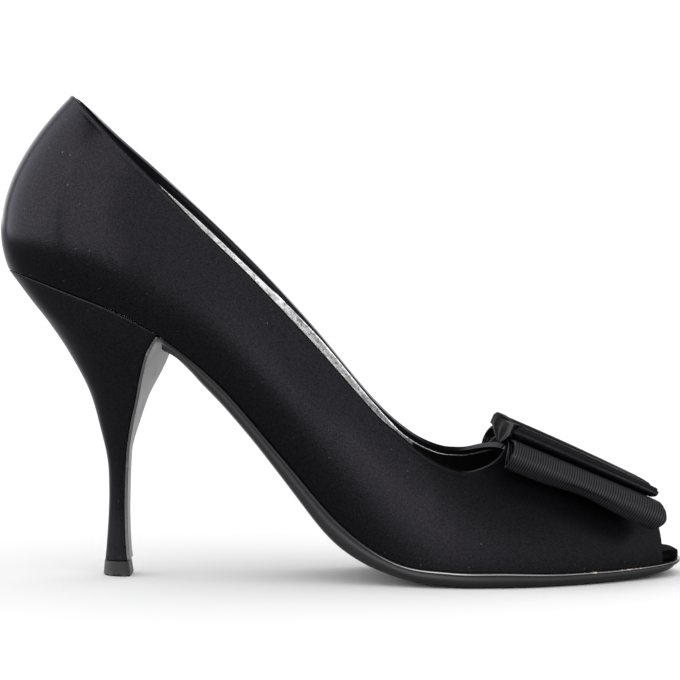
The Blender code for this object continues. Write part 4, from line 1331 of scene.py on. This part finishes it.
Pleat = namedtuple("Pleat", "reach drop_mm groove_mm")
PLEATS = [Pleat(0.62, 0.12, 0.25), Pleat(0.88, 0.20, 0.40)]
PLEAT_SOFT, PLEAT_FAR = 0.010, 40
PLEAT_GROOVE_AT, PLEAT_GROOVE_SPREAD = 2, 4


def ribbed(paths, run, height):
    """A ribbon's paths with ridges across its run."""
    turn = np.roll(paths, -1, axis=1) - np.roll(paths, 1, axis=1)
    normal = np.stack([turn[..., 1], -turn[..., 0]], axis=2)
    normal /= np.linalg.norm(normal, axis=2, keepdims=True)
    rib = height * np.sin(2 * math.pi * run / (RIB_MM * MM))
    return paths + normal * rib[..., None]


def pleated(paths, ribbon, pleats):
    """A ribbon's paths with each pleat's step and groove pressed into the top."""
    reach, height = paths[..., 0], paths[..., 1]
    middle = (ribbon.low + ribbon.high) / 2 * MM
    for pleat in pleats:
        past = (np.abs(reach) / (ribbon.half * MM) - pleat.reach) / PLEAT_SOFT
        step = 1 / (1 + np.exp(-np.clip(past, -PLEAT_FAR, PLEAT_FAR)))
        groove = np.exp(-((past - PLEAT_GROOVE_AT) ** 2) / PLEAT_GROOVE_SPREAD)
        height = height - (height > middle) * (pleat.drop_mm * step + pleat.groove_mm * groove) * MM
    return np.stack([reach, height], axis=2)


def make_ribbon(ribbon, swatch, runs, steps, rib_height, pleats, node):
    """A ribbon folded into two loops, with its ribs and pleats standing out from the path."""
    shares = np.linspace(0, 1, runs)
    paths = np.array([loop_path(ribbon, share, steps) for share in shares])
    run = runs_at(ribbon, paths, shares[:, None])
    paths = pleated(ribbed(paths, run, rib_height), ribbon, pleats)
    grid = bow_points(run, paths[..., 0], paths[..., 1]).swapaxes(0, 1)
    around = np.cumsum(np.linalg.norm(np.diff(grid, axis=0, prepend=grid[:1]), axis=2), axis=0)
    charts = {"cloth": np.stack([run.T, around], axis=2) / MM}
    faces = grid_faces(*grid.shape[:2], wrap=True)
    piece = make_piece(ribbon.name, grid, faces, [swatch], charts, node)
    thicken(piece, RIBBON_THICK, 0)
    soften(piece, RIBBON_ROUND, RIBBON_ROUND_FROM_DEG, RIBBON_ROUND_STEPS)
    return piece


lower_ribbon = make_ribbon(
    LOWER, grosgrain, LOWER_RUNS, LOWER_STEPS, RIB_HEIGHT, [], "bow_lower_ribbon"
)
upper_ribbon = make_ribbon(
    UPPER, ribbon_satin, UPPER_RUNS, UPPER_STEPS, 0.0, PLEATS, "bow_upper_ribbon"
)

# %% [markdown]
# The band goes once round both ribbons, from the throat down to the toe and back underneath. At
# the throat it spreads into a knot that covers the loops' ends. It could be a bent plate, but a
# closed strip whose width changes along its path also takes the lengthwise gathers, which show
# that it is pulled tight.

# %% Path of the band
BAND_THICK = 0.0008
BAND_STEP = 0.0007
KNOT_WIDE_MM, KNOT_FOOT_MM, KNOT_RUN_MM = 22.8, 4.0, 7.0
TOP_STEPS = 20


def ribbon_top(ribbon, reach):
    """The height of a ribbon's top at its throat end."""
    path = loop_path(ribbon, 0.0, TOP_STEPS)
    top = path[path[:, 1] > (ribbon.low + ribbon.high) / 2 * MM]
    order = np.argsort(top[:, 0])
    return np.interp(reach, top[order, 0], top[order, 1])


def band_path(clear):
    """Runs, heights and half widths round both ribbons, from under the throat to the toe and back."""
    past = BAND_THICK / 2 + GAP
    bottom, step = LOWER.pinch_low * MM - clear, LOWER.pinch_high * MM + clear
    top = UPPER.pinch_high * MM + clear
    start = min(LOWER.start, UPPER.start) * MM - past
    lower_end = (LOWER.start + LOWER.length - LOWER.waist) * MM + past
    upper_end = (UPPER.start + UPPER.length - UPPER.waist) * MM + past
    half, wide, foot = BAND_WIDTH / 2, KNOT_WIDE_MM * MM, KNOT_FOOT_MM * MM
    flare = start + KNOT_RUN_MM * MM
    corners = [
        (start, step, wide), (start, bottom, foot), (start + foot, bottom, half),
        (lower_end, bottom, half), (lower_end, step, half),
        (upper_end, step, half), (upper_end, top, half), (flare, top, half), (start, top, wide),
    ]
    path = []
    for here, there in zip(corners, corners[1:] + corners[:1]):
        here, there = np.array(here), np.array(there)
        steps = max(2, round(np.linalg.norm(there[:2] - here[:2]) / BAND_STEP))
        path.append(here + (there - here) * np.arange(steps)[:, None] / steps)
    return np.concatenate(path), start, bottom, top


print("the knot spreads %.0f mm across the throat" % (2 * KNOT_WIDE_MM))

# %% [markdown]
# The strip's points are lifted with the upper ribbon under the knot, pushed out a little where the
# knot is crowned, and waved across by the gathers.

# %% Band
BAND_CROWN, BAND_ROUND = 0.0004, 0.00025
BAND_POINTS = 49
GATHER, GATHERS = 0.00025, 3
KNOT_LIFT = 0.60


def make_band():
    clear = (RIBBON_THICK + BAND_THICK) / 2 + GAP
    path, start, bottom, top = band_path(clear)
    run, height, half = path[:, :1], path[:, 1:2], path[:, 2:]
    across = np.linspace(-1, 1, BAND_POINTS)
    reach = across * half
    up = np.clip((height - bottom) / (top - bottom), 0, 1)
    over = up * (run < start + KNOT_RUN_MM * MM)
    lift = KNOT_LIFT * (ribbon_top(UPPER, reach) - UPPER.pinch_high * MM)
    gather = GATHER * np.cos(across * math.pi * GATHERS) * (1 - across**4)
    at_end = run <= start
    knot = np.where(at_end, np.sin(math.pi * up), 0)
    outward = np.where(at_end, 0, np.sign(height - (bottom + top) / 2))
    share = np.clip((run - start) / (UPPER.length * MM), 0, 1)
    swing = swing_at(UPPER, reach, share) * (height > bottom)
    run = run - (BAND_CROWN * (1 - across**2) + gather) * knot - swing
    height = height + lift * over + gather * outward
    grid = bow_points(run, reach, height)
    charts = {"cloth": np.stack([run + 0 * reach, reach + 0 * run], axis=2) / MM}
    faces = grid_faces(*grid.shape[:2], wrap=True)
    band = make_piece("bow_band_satin", grid, faces, [band_satin], charts, "bow_band")
    thicken(band, BAND_THICK, 0)
    soften(band, BAND_ROUND)
    return band


bow_band_satin = make_band()

# %% [markdown]
# ## Floor and light
# Black satin shows only what it reflects, so the light matters as much as the finish. A white sky
# and a white floor fill in softly from all round, as in a light tent. The floor is a plain disc so
# large that its rim lies far behind the shoe.

# %% Floor and sky
FLOOR_RADIUS, FLOOR_CORNERS = 9.0, 96
FLOOR_WHITE = (0.97, 0.97, 0.97, 1)
SKY_WHITE, SKY_BRIGHTNESS = (1, 1, 1, 1), 1.12


def make_floor():
    swatch = Swatch("pale_floor", Base_Color=FLOOR_WHITE, Roughness=0.9, Specular_IOR_Level=0.1)
    angle = np.linspace(0, 2 * math.pi, FLOOR_CORNERS, endpoint=False)
    rim = np.stack([np.cos(angle), np.sin(angle), 0 * angle], axis=1) * FLOOR_RADIUS
    mesh = bpy.data.meshes.new("floor")
    mesh.from_pydata(rim.tolist(), [], [list(range(FLOOR_CORNERS))])
    mesh.materials.append(swatch.material)
    floor = bpy.data.objects.new("floor", mesh)
    bpy.context.scene.collection.objects.link(floor)


def make_sky():
    world = bpy.data.worlds.new("white_sky")
    world.use_nodes = True
    background = world.node_tree.nodes["Background"]
    background.inputs["Color"].default_value = SKY_WHITE
    background.inputs["Strength"].default_value = SKY_BRIGHTNESS
    bpy.context.scene.world = world


make_floor()
make_sky()
bpy.context.scene.view_settings.view_transform = "Standard"
print("the floor is %.0f m across" % (2 * FLOOR_RADIUS))

# %% [markdown]
# Five softboxes draw the sheen: a tall one in front of the heel and one behind it for the counter
# and the quarters, weaker ones for the vamp and the toe, and one on the far side for the rims of
# the walls. They hang so high that the lower walls, which look down, stay dark. If they lit the
# floor too they would wash out its shadow, so they are linked to the shoe alone, and the far one to
# the upper and the heel only, because the flat top of the bow would turn white under it.

# %% Softboxes
WALLS = bpy.data.collections.new("walls")
WALLS.objects.link(satin_upper)
WALLS.objects.link(satin_heel)

Softbox = namedtuple("Softbox", "name place aim width height brightness lit")
SOFTBOXES = [
    Softbox("front_softbox", (-0.65, -1.3, 0.95), (-0.65, 0, 0.80), 1.3, 1.9, 7.5, SHOE),
    Softbox("vamp_softbox", (0.65, -1.3, 0.55), (0.65, 0, 0.40), 1.3, 1.1, 3.6, SHOE),
    Softbox("heel_softbox", (-1.3, -0.05, 0.95), (0, -0.05, 0.80), 2.4, 1.9, 9.0, SHOE),
    Softbox("toe_softbox", (1.3, -0.05, 0.55), (0, -0.05, 0.40), 2.4, 1.1, 2.4, SHOE),
    Softbox("medial_softbox", (0, 1.3, 0.80), (0, 0, 0.55), 2.4, 1.5, 3.2, WALLS),
]


def hang(box):
    """A rectangular light of an even brightness, turned towards a point, that lights some pieces."""
    light = bpy.data.lights.new(box.name, "AREA")
    light.shape = "RECTANGLE"
    light.size, light.size_y = box.width, box.height
    light.energy = box.brightness * math.pi * box.width * box.height
    lamp = bpy.data.objects.new(box.name, light)
    lamp.location = box.place
    lamp.rotation_euler = (Vector(box.aim) - Vector(box.place)).to_track_quat("-Z", "Y").to_euler()
    lamp.visible_camera = False
    lamp.light_linking.receiver_collection = box.lit
    bpy.context.scene.collection.objects.link(lamp)


for softbox in SOFTBOXES:
    hang(softbox)
print(len(SOFTBOXES), "softboxes hang over the shoe")

# %% [markdown]
# ## Last look
# The pieces that dress the solids are listed by name at the end.

# %% Pieces
PIECES = [
    satin_upper, sock_insole, leather_sole, satin_heel, breast_cover, heel_tip,
    lower_ribbon, upper_ribbon, bow_band_satin,
]
print(len(PIECES), "pieces dress the solids:", ", ".join(piece.name for piece in PIECES))
